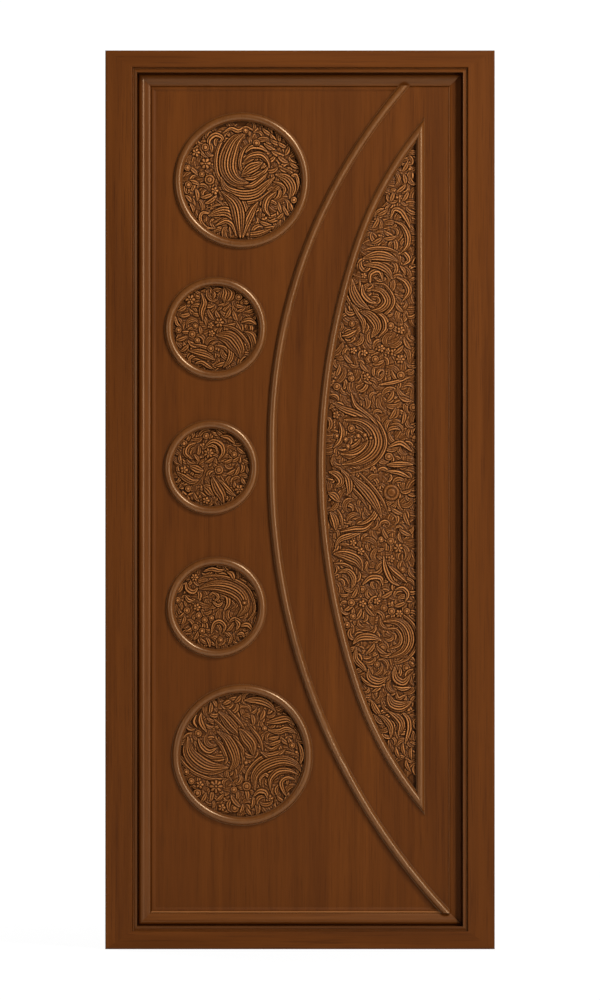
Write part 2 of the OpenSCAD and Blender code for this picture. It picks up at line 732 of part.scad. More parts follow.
// Great C-shaped plume round a bare almond, with a sheaf that springs from the bottom
module top_carving() {
    carved_disc(0, 139, [
        [[[8, 104], [-18, 86], [-27, 58], [-23, 32], [-8, 14], [14, 7]], 44, 5],
        [[[-55, 22], [-42, -4], [-20, -24], [0, -52], [8, -84]], 26, 4],
        [[[-3, -134], [-5, -100], [-18, -72], [-42, -58], [-70, -62]], 34, 4],
        [[[-22, -128], [-24, -106], [-38, -94], [-54, -102], [-60, -116]], 16, 2],
        [[[-62, -112], [-84, -110], [-98, -92], [-92, -76], [-66, -80]], 10, 1],
        [[[6, -132], [12, -98], [22, -72], [36, -48]], 20, 3],
        [[[-4, -34], [22, -28], [46, -10], [66, 6], [88, 6]], 24, 3],
        [[[6, -6], [28, -2], [46, 12], [52, 30]], 14, 2],
        [[[22, 56], [44, 58], [60, 46], [64, 30]], 20, 3],
        [[[78, 14], [98, 2], [108, -18], [104, -38]], 24, 3],
        [[[80, -26], [60, -44], [54, -66], [66, -84]], 18, 2],
        [[[116, -20], [116, 6], [127, 12], [132, -8], [126, -32]], 10, 1],
        [[[-74, 72], [-78, 94], [-62, 108], [-46, 100], [-54, 88]], 14, 2],
        [[[-44, 112], [-26, 122], [-8, 116], [10, 124], [26, 118]], 12, 2]],
        [[48, 120, -35, 26, 9], [66, 108, -50, 24, 9], [52, 84, -30, 26, 9], [66, 94, -25, 28, 9],
         [84, 88, -30, 24, 9], [70, 66, -20, 28, 10], [84, 56, -35, 26, 10], [104, 60, 70, 22, 10],
         [112, 40, -30, 24, 9], [86, 34, -40, 24, 9], [34, -60, 80, 26, 9], [44, -74, 60, 24, 9],
         [84, -54, -70, 26, 9], [96, -62, -60, 24, 9], [112, -54, -70, 22, 8], [42, -98, -20, 26, 9],
         [64, -98, 20, 26, 9], [82, -92, 40, 22, 8], [54, -114, 10, 24, 8], [6, -131, 10, 62, 12],
         [-104, 16, 140, 26, 9], [-118, -26, 70, 24, 9], [-102, -46, 100, 26, 9], [-118, -50, 130, 20, 9],
         [-94, -42, 20, 28, 9], [-84, -56, 35, 30, 9], [-112, -74, 110, 22, 8], [-100, -8, 160, 26, 9]],
        [[-86, 40, 14], [-76, 2, 13], [-108, 66, 11], [-86, 78, 10], [-128, 30, 8], [34, 88, 9],
         [-64, -24, 10], [122, -46, 8]]);
}

// A fan of nested arcs under a small middle flower, with wavy strands above and below
module upper_carving() {
    carved_disc(1, 100, [
        [[[2, -16], [32, -24], [52, -46], [58, -70]], 40, 5],
        [[[68, -8], [84, -16], [91, -34], [84, -52]], 22, 3],
        [[[18, -92], [32, -76], [36, -54], [26, -34]], 16, 2],
        [[[-62, -54], [-40, -58], [-18, -66], [-2, -74]], 24, 4],
        [[[-50, -84], [-34, -80], [-18, -90], [-4, -97]], 12, 2],
        [[[20, 96], [24, 80], [20, 62]], 46, 5],
        [[[-34, 82], [-28, 60], [-34, 40], [-30, 18]], 18, 2],
        [[[-96, 30], [-92, 12], [-80, 0]], 10, 1],
        [[[60, 14], [78, 18], [96, 10]], 18, 2]],
        [[-88, 40, 30, 22, 9], [-84, 28, 10, 24, 9], [-64, 44, -40, 22, 8], [-56, 34, -10, 24, 8],
         [-20, 42, -60, 26, 9], [-2, 40, -60, 24, 9], [10, 38, -30, 30, 9], [24, 24, 60, 24, 9],
         [40, 40, -70, 24, 9], [52, 38, 30, 22, 8], [8, 52, 20, 26, 8], [42, 56, -20, 24, 8],
         [84, 54, -60, 20, 8], [70, 36, 20, 24, 8], [24, 4, 10, 26, 8], [-92, -30, 20, 26, 9],
         [-78, -34, -60, 24, 9], [-66, -32, -30, 26, 10], [-82, -56, 40, 24, 9], [-80, -10, 0, 22, 8]],
        [[-10, -12, 9], [-60, 68, 12], [-56, -14, 9], [-48, 6, 7], [-12, -46, 8], [70, 62, 8],
         [52, 74, 9], [8, 14, 12]]);
}

// A rose of rings at the top, with strands that fan out to the lower right
module middle_carving() {
    carved_disc(2, 91, [
        [[[-16, 48], [4, 62], [24, 52], [28, 34], [16, 18]], 14, 2],
        [[[-36, 58], [-54, 50], [-60, 34], [-46, 20]], 18, 3],
        [[[2, -22], [12, -44], [24, -64], [28, -84]], 28, 4],
        [[[12, -24], [30, -44], [46, -60], [58, -68]], 16, 2],
        [[[-80, -12], [-62, -22], [-44, -32], [-30, -30]], 22, 3],
        [[[-50, 4], [-34, -4], [-18, -8]], 20, 3],
        [[[-18, -42], [-6, -52], [6, -66]], 26, 3],
        [[[22, 74], [42, 70], [56, 56]], 14, 2]],
        [[0, 82, -20, 22, 8], [-46, 68, 70, 20, 8], [-58, 60, 60, 20, 8], [-76, 30, -80, 22, 8],
         [60, 46, -40, 22, 8], [64, 30, -80, 20, 8], [42, 40, -50, 24, 8], [74, 18, -30, 18, 8],
         [82, 2, -70, 22, 8], [48, 12, 30, 22, 8], [-30, 28, 80, 22, 8], [-28, 14, 120, 20, 8],
         [56, -20, 60, 22, 8], [70, -24, -60, 20, 8], [52, -34, -70, 22, 8], [38, -18, 30, 22, 8],
         [-66, -44, 20, 22, 8], [-68, -58, -50, 20, 9], [-42, -62, -60, 22, 8], [-28, -74, 60, 20, 8]],
        [[-6, 34, 12], [-12, 74, 8], [-64, -6, 9], [54, 30, 8], [-12, -78, 9], [66, -52, 11],
         [-54, -50, 8], [18, -6, 10], [8, 14, 6]]);
}

// An arch of nested strands over curls and buds
module lower_carving() {
    carved_disc(3, 98, [
        [[[-40, 44], [-4, 50], [32, 42], [58, 24], [66, -2], [50, -22]], 38, 5],
        [[[-18, 26], [-6, 34], [4, 24], [-6, 12]], 10, 1],
        [[[8, 30], [24, 26], [28, 8], [18, -8]], 14, 2],
        [[[-72, 58], [-68, 42], [-54, 36], [-44, 46]], 14, 2],
        [[[-74, 28], [-66, 16], [-52, 14]], 12, 2],
        [[[-12, -62], [-6, -40], [8, -34], [20, -46], [14, -62]], 12, 2],
        [[[56, -44], [74, -42], [84, -54]], 14, 2],
        [[[42, -28], [52, -40], [46, -54]], 12, 2],
        [[[-30, 84], [-12, 90], [6, 86], [20, 90]], 12, 2],
        [[[24, 84], [36, 78], [42, 64]], 14, 2]],
        [[-90, 34, 60, 22, 8], [-94, -8, 100, 22, 8], [-88, -26, 40, 24, 8], [-80, -42, 70, 22, 8],
         [-72, -60, 30, 24, 8], [-52, -78, 60, 24, 8], [-40, -74, -40, 22, 8], [-14, -92, 110, 22, 8],
         [6, -92, 40, 22, 8], [30, -88, 70, 22, 8], [38, -82, -30, 22, 8], [54, -70, 20, 24, 8],
         [92, 8, 100, 22, 8], [90, -24, -70, 22, 8], [54, 66, -30, 24, 8], [72, 58, -50, 24, 8],
         [86, 36, -60, 20, 8], [26, -58, 50, 24, 8]],
        [[-42, -20, 8], [-28, -30, 8], [-12, -26, 7], [-46, 0, 10], [-50, -48, 9], [-34, -56, 8],
         [-52, 70, 10], [-92, 16, 8], [10, -78, 7], [-70, -8, 8]]);
}

// Nested crescents on the left, a sheaf in the middle and a dome of arches on the lower right
module bottom_carving() {
    carved_disc(4, 145, [
        [[[-128, 40], [-126, 6], [-104, -18], [-70, -32], [-34, -30]], 40, 5],
        [[[-104, 38], [-94, 18], [-78, 8], [-60, 16]], 14, 2],
        [[[-58, 54], [-36, 36], [-22, 8], [-18, -18], [-30, -38]], 30, 4],
        [[[-8, 60], [6, 44], [20, 24], [26, 0]], 36, 5],
        [[[-56, 100], [-40, 84], [-20, 62], [-6, 44]], 28, 4],
        [[[4, 128], [34, 128], [60, 120], [78, 102]], 20, 2],
        [[[-96, 98], [-98, 78], [-84, 54]], 14, 2],
        [[[30, -84], [30, -50], [52, -26], [92, -14], [124, -22], [138, -40]], 30, 4],
        [[[66, -84], [66, -58], [84, -40], [110, -38], [130, -46]], 18, 2],
        [[[104, -98], [94, -80], [92, -64], [106, -54], [124, -58]], 12, 2],
        [[[26, -98], [38, -86], [54, -88], [60, -104]], 14, 2],
        [[[58, 76], [82, 80], [106, 84], [122, 70]], 20, 3],
        [[[60, 58], [84, 54], [104, 60], [128, 50]], 16, 2],
        [[[130, 30], [138, 14], [140, -6], [134, -24]], 12, 1],
        [[[44, 6], [62, -4], [80, -2], [100, 12]], 24, 3]],
        [[-78, -10, 6, 48, 14], [-44, 118, 30, 22, 9], [-30, 130, 10, 22, 9], [-60, 114, 120, 18, 8],
         [-16, 122, 50, 22, 9], [-76, 96, 80, 26, 9], [62, 96, 60, 22, 10], [96, 94, -30, 32, 9],
         [28, 70, 100, 26, 9], [44, 82, 70, 24, 10], [88, 40, -40, 26, 9], [62, 36, 10, 24, 9],
         [106, 40, -60, 24, 9], [-96, -112, 60, 24, 9], [-74, -110, 80, 26, 9], [-28, -98, -50, 34, 10],
         [-4, -138, 70, 22, 8], [8, -124, -60, 22, 8], [24, -124, 80, 26, 8], [80, -98, -40, 24, 8],
         [74, -116, -70, 20, 8], [14, -104, 100, 26, 9]],
        [[-100, -70, 10], [-66, -72, 15], [-106, -90, 10], [-48, -124, 10], [-20, -82, 8], [10, -74, 11],
         [-104, 50, 9], [-132, -40, 8], [116, 22, 8]]);
}

// Plumes and scrolls in two mirrored halves above and below a pod, from tip to tip of the half-moon.
// Rows count from the middle of the straight bead and from the middle height, for the drawn size.
module moon_carving() {
    outline = moon_outline(-bead_w / 2 - carving_gap);
    drawn = [232, 788];
    plumes = [
        [[[-70, 580], [-62, 600], [-46, 596], [-32, 576], [-24, 556]], 14, 2],
        [[[-60, 572], [-42, 562], [-31, 540], [-32, 516], [-46, 498]], 18, 2],
        [[[-134, 486], [-106, 492], [-78, 490], [-54, 480]], 26, 3],
        [[[-54, 496], [-38, 498], [-28, 482], [-42, 470]], 12, 1],
        [[[-132, 470], [-102, 470], [-78, 458], [-66, 438]], 20, 2],
        [[[-118, 428], [-116, 448], [-98, 454], [-88, 434]], 18, 2],
        [[[-56, 442], [-36, 430], [-28, 408], [-42, 386]], 18, 2],
        [[[-160, 436], [-158, 408], [-144, 384], [-120, 366]], 26, 3],
        [[[-114, 412], [-92, 408], [-80, 386], [-94, 368], [-118, 362]], 24, 3],
        [[[-164, 384], [-148, 362], [-134, 338], [-134, 312]], 16, 2],
        [[[-142, 362], [-118, 350], [-104, 326], [-114, 302]], 30, 3],
        [[[-106, 362], [-86, 346], [-82, 322], [-98, 302]], 18, 2],
        [[[-184, 304], [-166, 308], [-150, 318]], 18, 2],
        [[[-98, 190], [-62, 196], [-24, 208]], 10, 1],
        [[[-206, 148], [-178, 132], [-146, 120], [-118, 100], [-102, 76]], 20, 2],
        [[[-162, 170], [-154, 144], [-134, 124], [-110, 104], [-96, 80]], 18, 2],
        [[[-178, 108], [-142, 104], [-114, 84], [-104, 54], [-118, 28], [-150, 10], [-182, 4]], 24, 3],
        [[[-176, 26], [-156, 24], [-132, 36], [-116, 54]], 20, 2],
        [[[-204, 42], [-190, 58], [-184, 80], [-190, 102]], 18, 2],
        [[[-76, 44], [-46, 54], [-20, 34]], 14, 1],
        [[[-80, 2], [-50, 4], [-18, 4]], 16, 1],
        [[[-80, -12], [-52, -16], [-24, -28]], 12, 1],
        [[[-214, -14], [-196, -22], [-188, -38], [-200, -50]], 24, 3],
        [[[-186, -8], [-170, -30], [-166, -54], [-172, -68]], 20, 2],
        [[[-164, -22], [-142, -44], [-122, -66], [-104, -92], [-92, -120]], 26, 3],
        [[[-150, -40], [-132, -60], [-120, -84], [-118, -104]], 18, 2],
        [[[-216, -62], [-200, -72], [-190, -84]], 20, 2],
        [[[-212, -108], [-204, -122], [-198, -150]], 24, 2],
        [[[-106, -80], [-104, -108], [-122, -130], [-152, -140]], 16, 2],
        [[[-186, -154], [-158, -148], [-130, -146], [-110, -128]], 18, 2],
        [[[-200, -192], [-188, -172], [-162, -162], [-132, -152]], 16, 2],
        [[[-202, -206], [-174, -208], [-148, -222], [-136, -244]], 36, 4],
        [[[-192, -250], [-170, -246], [-156, -264], [-162, -290]], 16, 2],
        [[[-136, -278], [-118, -262], [-94, -262], [-88, -280]], 14, 2],
        [[[-86, -212], [-82, -240], [-68, -268], [-50, -280]], 14, 2],
        [[[-76, -232], [-56, -252], [-32, -272]], 18, 2],
        [[[-60, -290], [-42, -286], [-30, -300], [-36, -318]], 12, 1],
        [[[-86, -364], [-54, -364], [-32, -384], [-27, -412], [-42, -436], [-74, -448]], 28, 4],
        [[[-158, -416], [-142, -402], [-114, -400], [-92, -408]], 20, 2],
        [[[-150, -424], [-152, -450], [-136, -470], [-124, -484]], 16, 2],
        [[[-122, -476], [-118, -496], [-98, -504], [-78, -494]], 20, 3],
        [[[-60, -470], [-58, -496], [-40, -506], [-24, -488]], 20, 2],
        [[[-140, -492], [-128, -506], [-106, -514], [-82, -512]], 12, 1],
        [[[-76, -534], [-68, -556], [-46, -564], [-22, -552]], 30, 4],
        [[[-116, -548], [-106, -568], [-92, -588]], 16, 2],
        [[[-100, -582], [-82, -594], [-70, -612], [-70, -636]], 16, 2],
        [[[-76, -574], [-56, -588], [-46, -606], [-52, -630]], 24, 3],
        [[[-46, -574], [-30, -590], [-26, -616], [-36, -650]], 14, 1]];
    sprigs = [
        [-40, 690, 60, 24, 9], [-34, 660, 100, 24, 9], [-54, 640, 40, 26, 9], [-70, 618, 70, 24, 9],
        [-40, 620, 60, 24, 9], [-98, 586, 30, 24, 9], [-110, 556, 60, 26, 9], [-86, 548, -30, 26, 9],
        [-112, 520, 30, 26, 9], [-84, 530, 10, 26, 9], [-34, 450, 120, 22, 8], [-60, 380, -50, 26, 9],
        [-40, 298, -60, 28, 10], [-70, 222, -60, 28, 8], [-142, 240, -50, 26, 9], [-180, 260, -50, 26, 9],
        [-60, 262, 40, 26, 9], [-110, 236, 20, 26, 9], [-140, 210, -40, 30, 9], [-196, 210, 70, 26, 9],
        [-76, 150, 60, 28, 10], [-50, 160, -20, 28, 10], [-70, 110, 60, 28, 9], [-40, 100, 80, 26, 9],
        [-70, -100, -30, 30, 9], [-40, -110, -70, 30, 9], [-90, -150, -60, 28, 9], [-50, -150, -30, 28, 9],
        [-160, -310, 60, 26, 9], [-130, -330, -50, 28, 9], [-90, -310, 30, 28, 9], [-60, -330, 20, 28, 9],
        [-176, -340, 40, 26, 9], [-150, -360, 60, 26, 9], [-124, -440, 50, 28, 9], [-104, -424, -40, 28, 9],
        [-110, -530, 40, 26, 9], [-60, -520, 10, 28, 9], [-60, -660, -70, 26, 8], [-44, -650, -80, 28, 8],
        [-36, -690, -70, 26, 8], [-24, -660, -90, 26, 8]];
    buds = [
        [-134, 266, 9], [-94, 276, 10], [-48, 250, 12], [-70, 328, 9], [-46, 318, 9], [-106, 250, 8],
        [-196, 186, 9], [-126, 168, 10], [-130, 72, 6], [-146, 70, 6], [-162, 90, 8], [-174, 60, 6],
        [-74, 22, 10], [-68, -62, 20], [-158, -180, 9], [-140, -200, 10], [-52, -192, 12], [-90, -176, 8],
        [-136, -322, 10], [-50, -346, 9]];
    color(WOOD_LIGHT) intersection() {
        union() {
            upright(leaf_front + pocket_d - ground_t, leaf_front + pocket_d) polygon(outline);
            translate([moon_right, leaf_front + pocket_d - ground_t, moon_z]) rotate([90, 0, 0])
                scale([moon_wide / drawn[0], moon_half / drawn[1], 1]) relief(1, plumes, sprigs, buds);
        }
        upright(-FAR, leaf_front + pocket_d) polygon(outline);
    }
}

hinge_jamb();
latch_jamb();
frame_head();
frame_sill();
corner_dowels();
leaf_slab();
border_left();
border_right();
border_top();
border_bottom();
arc_bead_upper();
arc_bead_middle();
arc_bead_lower();
moon_bead_upper();
moon_bead_middle();
moon_bead_lower();
moon_straight_bead();
moon_carving();
top_ring();
upper_ring();
middle_ring();
lower_ring();
bottom_ring();
top_carving();
upper_carving();
middle_carving();
lower_carving();
bottom_carving();
top_hinge_jamb_plate();
middle_hinge_jamb_plate();
bottom_hinge_jamb_plate();
top_hinge_leaf_plate();
middle_hinge_leaf_plate();
bottom_hinge_leaf_plate();
top_hinge_pin();
middle_hinge_pin();
bottom_hinge_pin();
jamb_screws();
leaf_screws();
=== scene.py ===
"""Looks of a carved wooden door in its frame: fine carving, varnished wood, brass hinges, studio light."""

import copy
import math

import bpy
import numpy as np
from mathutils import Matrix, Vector


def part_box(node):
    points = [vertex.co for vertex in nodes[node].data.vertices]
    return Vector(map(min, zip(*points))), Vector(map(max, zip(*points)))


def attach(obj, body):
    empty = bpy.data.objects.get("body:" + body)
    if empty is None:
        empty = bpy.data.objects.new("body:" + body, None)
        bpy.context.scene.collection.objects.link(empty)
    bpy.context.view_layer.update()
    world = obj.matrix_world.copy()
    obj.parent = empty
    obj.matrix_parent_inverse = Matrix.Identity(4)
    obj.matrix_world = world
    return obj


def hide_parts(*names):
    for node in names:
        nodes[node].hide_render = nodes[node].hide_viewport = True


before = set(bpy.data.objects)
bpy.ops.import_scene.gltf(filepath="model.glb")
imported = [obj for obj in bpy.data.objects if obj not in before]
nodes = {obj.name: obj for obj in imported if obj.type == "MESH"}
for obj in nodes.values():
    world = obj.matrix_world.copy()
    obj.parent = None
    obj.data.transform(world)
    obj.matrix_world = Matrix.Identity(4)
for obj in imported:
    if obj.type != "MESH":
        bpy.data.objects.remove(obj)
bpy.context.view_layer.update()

MM = 0.001
GROUND_T = 4.2  # ground of a carving, from its back
RELIEF = 10.5  # highest carved forms above the ground
BROAD = 22  # a plume wider than this has slimmer strands beside it
WEAR_AND_SHADE_REACH = 4  # distance over which ridges get rubbed wear and a painted highlight, and grooves a painted shade


# Carving

def smooth_line(path, step=1.2):
    """Points every step millimetres along a smooth curve through a path, with the length up to each."""
    pts = np.array(path, float)
    ends = np.vstack([pts[:1], pts, pts[-1:]])
    f = np.linspace(0, 1, 40, endpoint=False)[:, None]
    out = []
    for i in range(len(pts) - 1):
        a, b, c, d = ends[i:i + 4]
        out.append(b + f * ((c - a) + f * ((2 * a - 5 * b + 4 * c - d) + f * (3 * b - a - 3 * c + d))) / 2)
    line = np.vstack(out + [pts[-1:]])
    run = np.concatenate([[0], np.cumsum(np.hypot(*np.diff(line, axis=0).T))])
    at = np.linspace(0, run[-1], max(int(run[-1] / step), 8))
    return np.column_stack([np.interp(at, run, line[:, 0]), np.interp(at, run, line[:, 1])]), at


def curl(x, z, heading, bend, length):
    """Five points of a bent line, its middle at x, z; heading and bend in radians."""
    turns = heading + bend * np.array([-0.375, -0.125, 0.125, 0.375])
    steps = length / 4 * np.column_stack([np.cos(turns), np.sin(turns)])
    line = np.vstack([[0, 0], np.cumsum(steps, axis=0)])
    return line - line[2] + (x, z)


class Carving:
    """Heights of a relief over a flat grid, built form by form; each form undercuts what lies beside it."""

    def __init__(self, x0, x1, z0, z1, pitch):
        self.pitch = pitch
        self.xs = np.arange(x0, x1 + pitch, pitch)
        self.zs = np.arange(z0, z1 + pitch, pitch)
        self.h = np.zeros((len(self.zs), len(self.xs)))

    def window(self, x0, x1, z0, z1):
        i = slice(*np.searchsorted(self.xs, (x0, x1)))
        j = slice(*np.searchsorted(self.zs, (z0, z1)))
        gx, gz = np.meshgrid(self.xs[i], self.zs[j])
        return (j, i), gx, gz

    def stamp(self, at, inside, outside, height, cut=0.34, moat=1.9):
        """Lays a form down: its own height inside, and a groove of the given width round it."""
        old = self.h[at]
        near = np.clip(1 - outside / moat, 0, 1)
        self.h[at] = np.where(inside, np.maximum(height, old * 0.4), old * (1 - cut * near))

    def plume(self, path, wide, rise=1.0, depth=0.55, blunt=0.15, strand=6.2):
        """A tapered bundle of strands along a path."""
        line, run = smooth_line(path)
        pad = wide / 2 + 3
        (x0, z0), (x1, z1) = line.min(0) - pad, line.max(0) + pad
        at, gx, gz = self.window(x0, x1, z0, z1)
        if gx.size == 0:
            return
        k = np.zeros(gx.shape, int)
        best = np.full(gx.shape, 1e9)
        for n, (lx, lz) in enumerate(line):
            d = (gx - lx) ** 2 + (gz - lz) ** 2
            nearer = d < best
            best[nearer] = d[nearer]
            k[nearer] = n
        tangent = np.gradient(line, axis=0)
        tangent /= np.hypot(*tangent.T)[:, None]
        tx, tz = tangent[k, 0], tangent[k, 1]
        dx, dz = gx - line[k, 0], gz - line[k, 1]
        along = run[k] + dx * tx + dz * tz
        t = np.clip(along / run[-1], 0, 1)
        past = np.maximum(0, np.maximum(-along, along - run[-1]))
        half = wide / 2 * (blunt + (1 - blunt) * np.sin(np.pi * t) ** 0.8)
        s = (dx * -tz + dz * tx) / half
        edge = np.hypot(s, past / half)
        dome = np.clip(1 - edge ** 2, 0, 1) ** 0.45
        count = max(round(wide / strand), 1)
        lane = count * (np.clip(s + 0.05 * np.sin(9 * t + wide), -1, 1) + 1) / 2
        ridge = np.abs(np.sin(np.pi * lane)) ** 0.8 * (0.78 + 0.22 * np.sin(2.4 * np.floor(lane) + wide))
        height = rise * (0.7 + 0.3 * np.sin(np.pi * t)) * dome * (1 - depth + depth * ridge)
        self.stamp(at, edge <= 1, (edge - 1) * half, height)

    def echo(self, path, wide):
        """Slimmer strands beside a plume, which follow its line."""
        ahead = np.gradient(path, axis=0)
        beside = np.column_stack([-ahead[:, 1], ahead[:, 0]]) / np.hypot(*ahead.T)[:, None]
        for side in (-1, 1):
            self.plume(path + side * beside * (wide / 2 + 5), 11, 0.7, 0.6, 0.08, 5.4)

    def bud(self, x, z, r, petals=0, rise=0.85):
        """A round bud with a sunk ring, or a flower with an eye in the middle."""
        at, gx, gz = self.window(x - r - 4, x + r + 4, z - r - 4, z + r + 4)
        if gx.size == 0:
            return
        d = np.hypot(gx - x, gz - z)
        if petals:
            wave = np.abs(np.cos(np.arctan2(gz - z, gx - x) * petals / 2))
            rim = r * (0.72 + 0.28 * wave ** 0.7)
            q = d / rim
            petal = rise * np.clip(1 - q ** 2, 0, 1) ** 0.4 * (0.55 + 0.45 * wave ** 0.5)
            height = np.where(q < 0.3, rise * np.cos(q / 0.3), petal)
        else:
            rim = r
            q = d / rim
            height = rise * np.clip(1 - q ** 2, 0, 1) ** 0.4 * (1 - 0.35 * np.exp(-((q - 0.55) / 0.12) ** 2))
        self.stamp(at, q <= 1, d - rim, height)

    def scatter(self, rng, within, spacing, length, wide, rise, bend, flowers=0.0):
        """Curled sprays and a share of flowers on a loose grid, following a slow swirl."""
        spots = [(x, z) for z in np.arange(self.zs[0], self.zs[-1], spacing)
                 for x in np.arange(self.xs[0], self.xs[-1], spacing)]
        for x, z in rng.permutation(spots):
            x, z = (x, z) + rng.uniform(-0.45, 0.45, 2) * spacing
            swirl = 3.2 * math.sin(x / 47 + z / 61) + 2.4 * math.sin(z / 38 - x / 83)
            heading = swirl + rng.uniform(-0.9, 0.9)
            turn = rng.choice((-1, 1)) * rng.uniform(*bend)
            size = rng.uniform(0, 1)
            if within(x, z) > -3:
                continue
            if rng.random() < flowers:
                self.bud(x, z, 0.75 * np.interp(size, (0, 1), wide), int(rng.integers(0, 2)) * 5, rise)
            else:
                path = curl(x, z, heading, turn, np.interp(size, (0, 1), length))
                self.plume(path, np.interp(size, (0, 1), wide), rise * rng.uniform(0.8, 1.1), 0.6, 0.08, 5.2)

    def undergrowth(self, rng, within):
        """Covers the ground: broad bundles of strands, then smaller sprays; the main forms lie on top."""
        self.scatter(rng, within, 25.0, (54, 90), (20, 32), 0.48, (1.4, 3.0))
        self.scatter(rng, within, 21.0, (26, 50), (9, 15), 0.68, (1.9, 3.3), 0.08)

    def draw(self, plumes, leaves, buds, k=1.0, at=(0, 0)):
        """Forms of a motif, scaled by k and moved to a place."""
        for x, z, angle, length, wide in leaves:
            a = math.radians(angle)
            mid = np.array([x + math.cos(a) * length / 2, z + math.sin(a) * length / 2]) * k + at
            self.plume(curl(*mid, a, 0.9, length * 1.2 * k), wide * 1.4 * k, 0.72, 0.5, 0.1)
        by_width = sorted(plumes, key=lambda row: row[1])
        plumes = [(np.array(path) * k + at, wide * k) for path, wide in by_width]
        for path, wide in plumes:
            if wide > BROAD:
                self.echo(path, wide)
        for path, wide in plumes:
            self.plume(path, wide)
        for x, z, r, petals in buds:
            self.bud(x * k + at[0], z * k + at[1], r * k, petals)

    def finish(self, rng):
        """Tool marks: a slight unevenness of the ground and of the forms."""
        self.h += blurred(rng.normal(0, 1, self.h.shape), 1) * 0.05

    def rows(self, first, last):
        """The part of a carving between two rows."""
        part = copy.copy(self)
        part.zs, part.h = self.zs[first:last], self.h[first:last]
        return part


def blurred(a, reach):
    """A box blur of a grid, reach cells to each side."""
    for axis in (0, 1):
        pad = [(0, 0), (0, 0)]
        pad[axis] = (reach + 1, reach)
        run = np.cumsum(np.pad(a, pad, mode="edge"), axis=axis)
        n = 2 * reach + 1
        hi = np.take(run, range(n, run.shape[axis]), axis=axis)
        lo = np.take(run, range(0, run.shape[axis] - n), axis=axis)
        a = (hi - lo) / n
    return a


def carved_piece(name, carving, within, snap, origin, base_y):
    """A mesh from a carving's heights, trimmed to an outline, with a wall down to its back."""
    gx, gz = np.meshgrid(carving.xs, carving.zs)
    far = within(gx, gz)
    keep = far < carving.pitch * 0.5
    cells = keep[:-1, :-1] & keep[1:, :-1] & keep[:-1, 1:] & keep[1:, 1:]
    edge = far > -carving.pitch * 0.5
    sx, sz = snap(gx, gz)
    gx, gz = np.where(edge, sx, gx), np.where(edge, sz, gz)
    y = base_y - GROUND_T - carving.h * RELIEF
    rows, cols = carving.h.shape
    index = np.arange(rows * cols).reshape(rows, cols)
    quads = np.stack([index[:-1, :-1], index[:-1, 1:], index[1:, 1:], index[1:, :-1]], -1)[cells]
    co = np.stack([gx + origin[0], y, gz + origin[1]], -1).reshape(-1, 3)
    # Ridges stand above the blurred heights and grooves below: the material paints rubbed wear and a
    # highlight on ridges, and shade in grooves
    wear_and_shade = carving.h - blurred(carving.h, max(int(WEAR_AND_SHADE_REACH / carving.pitch), 1))

    sides = np.concatenate([quads[:, [k, (k + 1) % 4]] for k in range(4)])
    key = np.sort(sides, 1)
    code = key[:, 0].astype(np.int64) * rows * cols + key[:, 1]
    _, first, count = np.unique(code, return_index=True, return_counts=True)
    rim = sides[first[count == 1]]
    ids = np.unique(rim)
    upper = np.zeros(rows * cols, int)
    upper[ids] = rows * cols + np.arange(len(ids))
    lower = upper + len(ids)
    walls = np.stack([upper[rim[:, 1]], upper[rim[:, 0]], lower[rim[:, 0]], lower[rim[:, 1]]], -1)

    faces = np.concatenate([quads, walls])
    low_co = co[ids] * (1, 0, 1) + (0, base_y, 0)
    co = np.concatenate([co, co[ids], low_co])
    value, wear_and_shade_values = (np.concatenate([a.ravel(), np.zeros(2 * len(ids))]) for a in (carving.h, wear_and_shade))
    used = np.unique(faces)
    renumber = np.zeros(len(co), int)
    renumber[used] = np.arange(len(used))
    faces, co, value, wear_and_shade_values = renumber[faces], co[used] * MM, value[used], wear_and_shade_values[used]

    mesh = bpy.data.meshes.new(name)
    mesh.vertices.add(len(co))
    mesh.vertices.foreach_set("co", co.ravel())
    mesh.loops.add(faces.size)
    mesh.loops.foreach_set("vertex_index", faces.ravel())
    mesh.polygons.add(len(faces))
    mesh.polygons.foreach_set("loop_start", np.arange(len(faces)) * 4)
    mesh.update(calc_edges=True)
    mesh.polygons.foreach_set("use_smooth", np.ones(len(faces), bool))
    mesh.attributes.new("height", "FLOAT", "POINT").data.foreach_set("value", value)
    mesh.attributes.new("wear_and_shade", "FLOAT", "POINT").data.foreach_set("value", wear_and_shade_values)
    obj = bpy.data.objects.new(name, mesh)
    bpy.context.collection.objects.link(obj)
    return obj


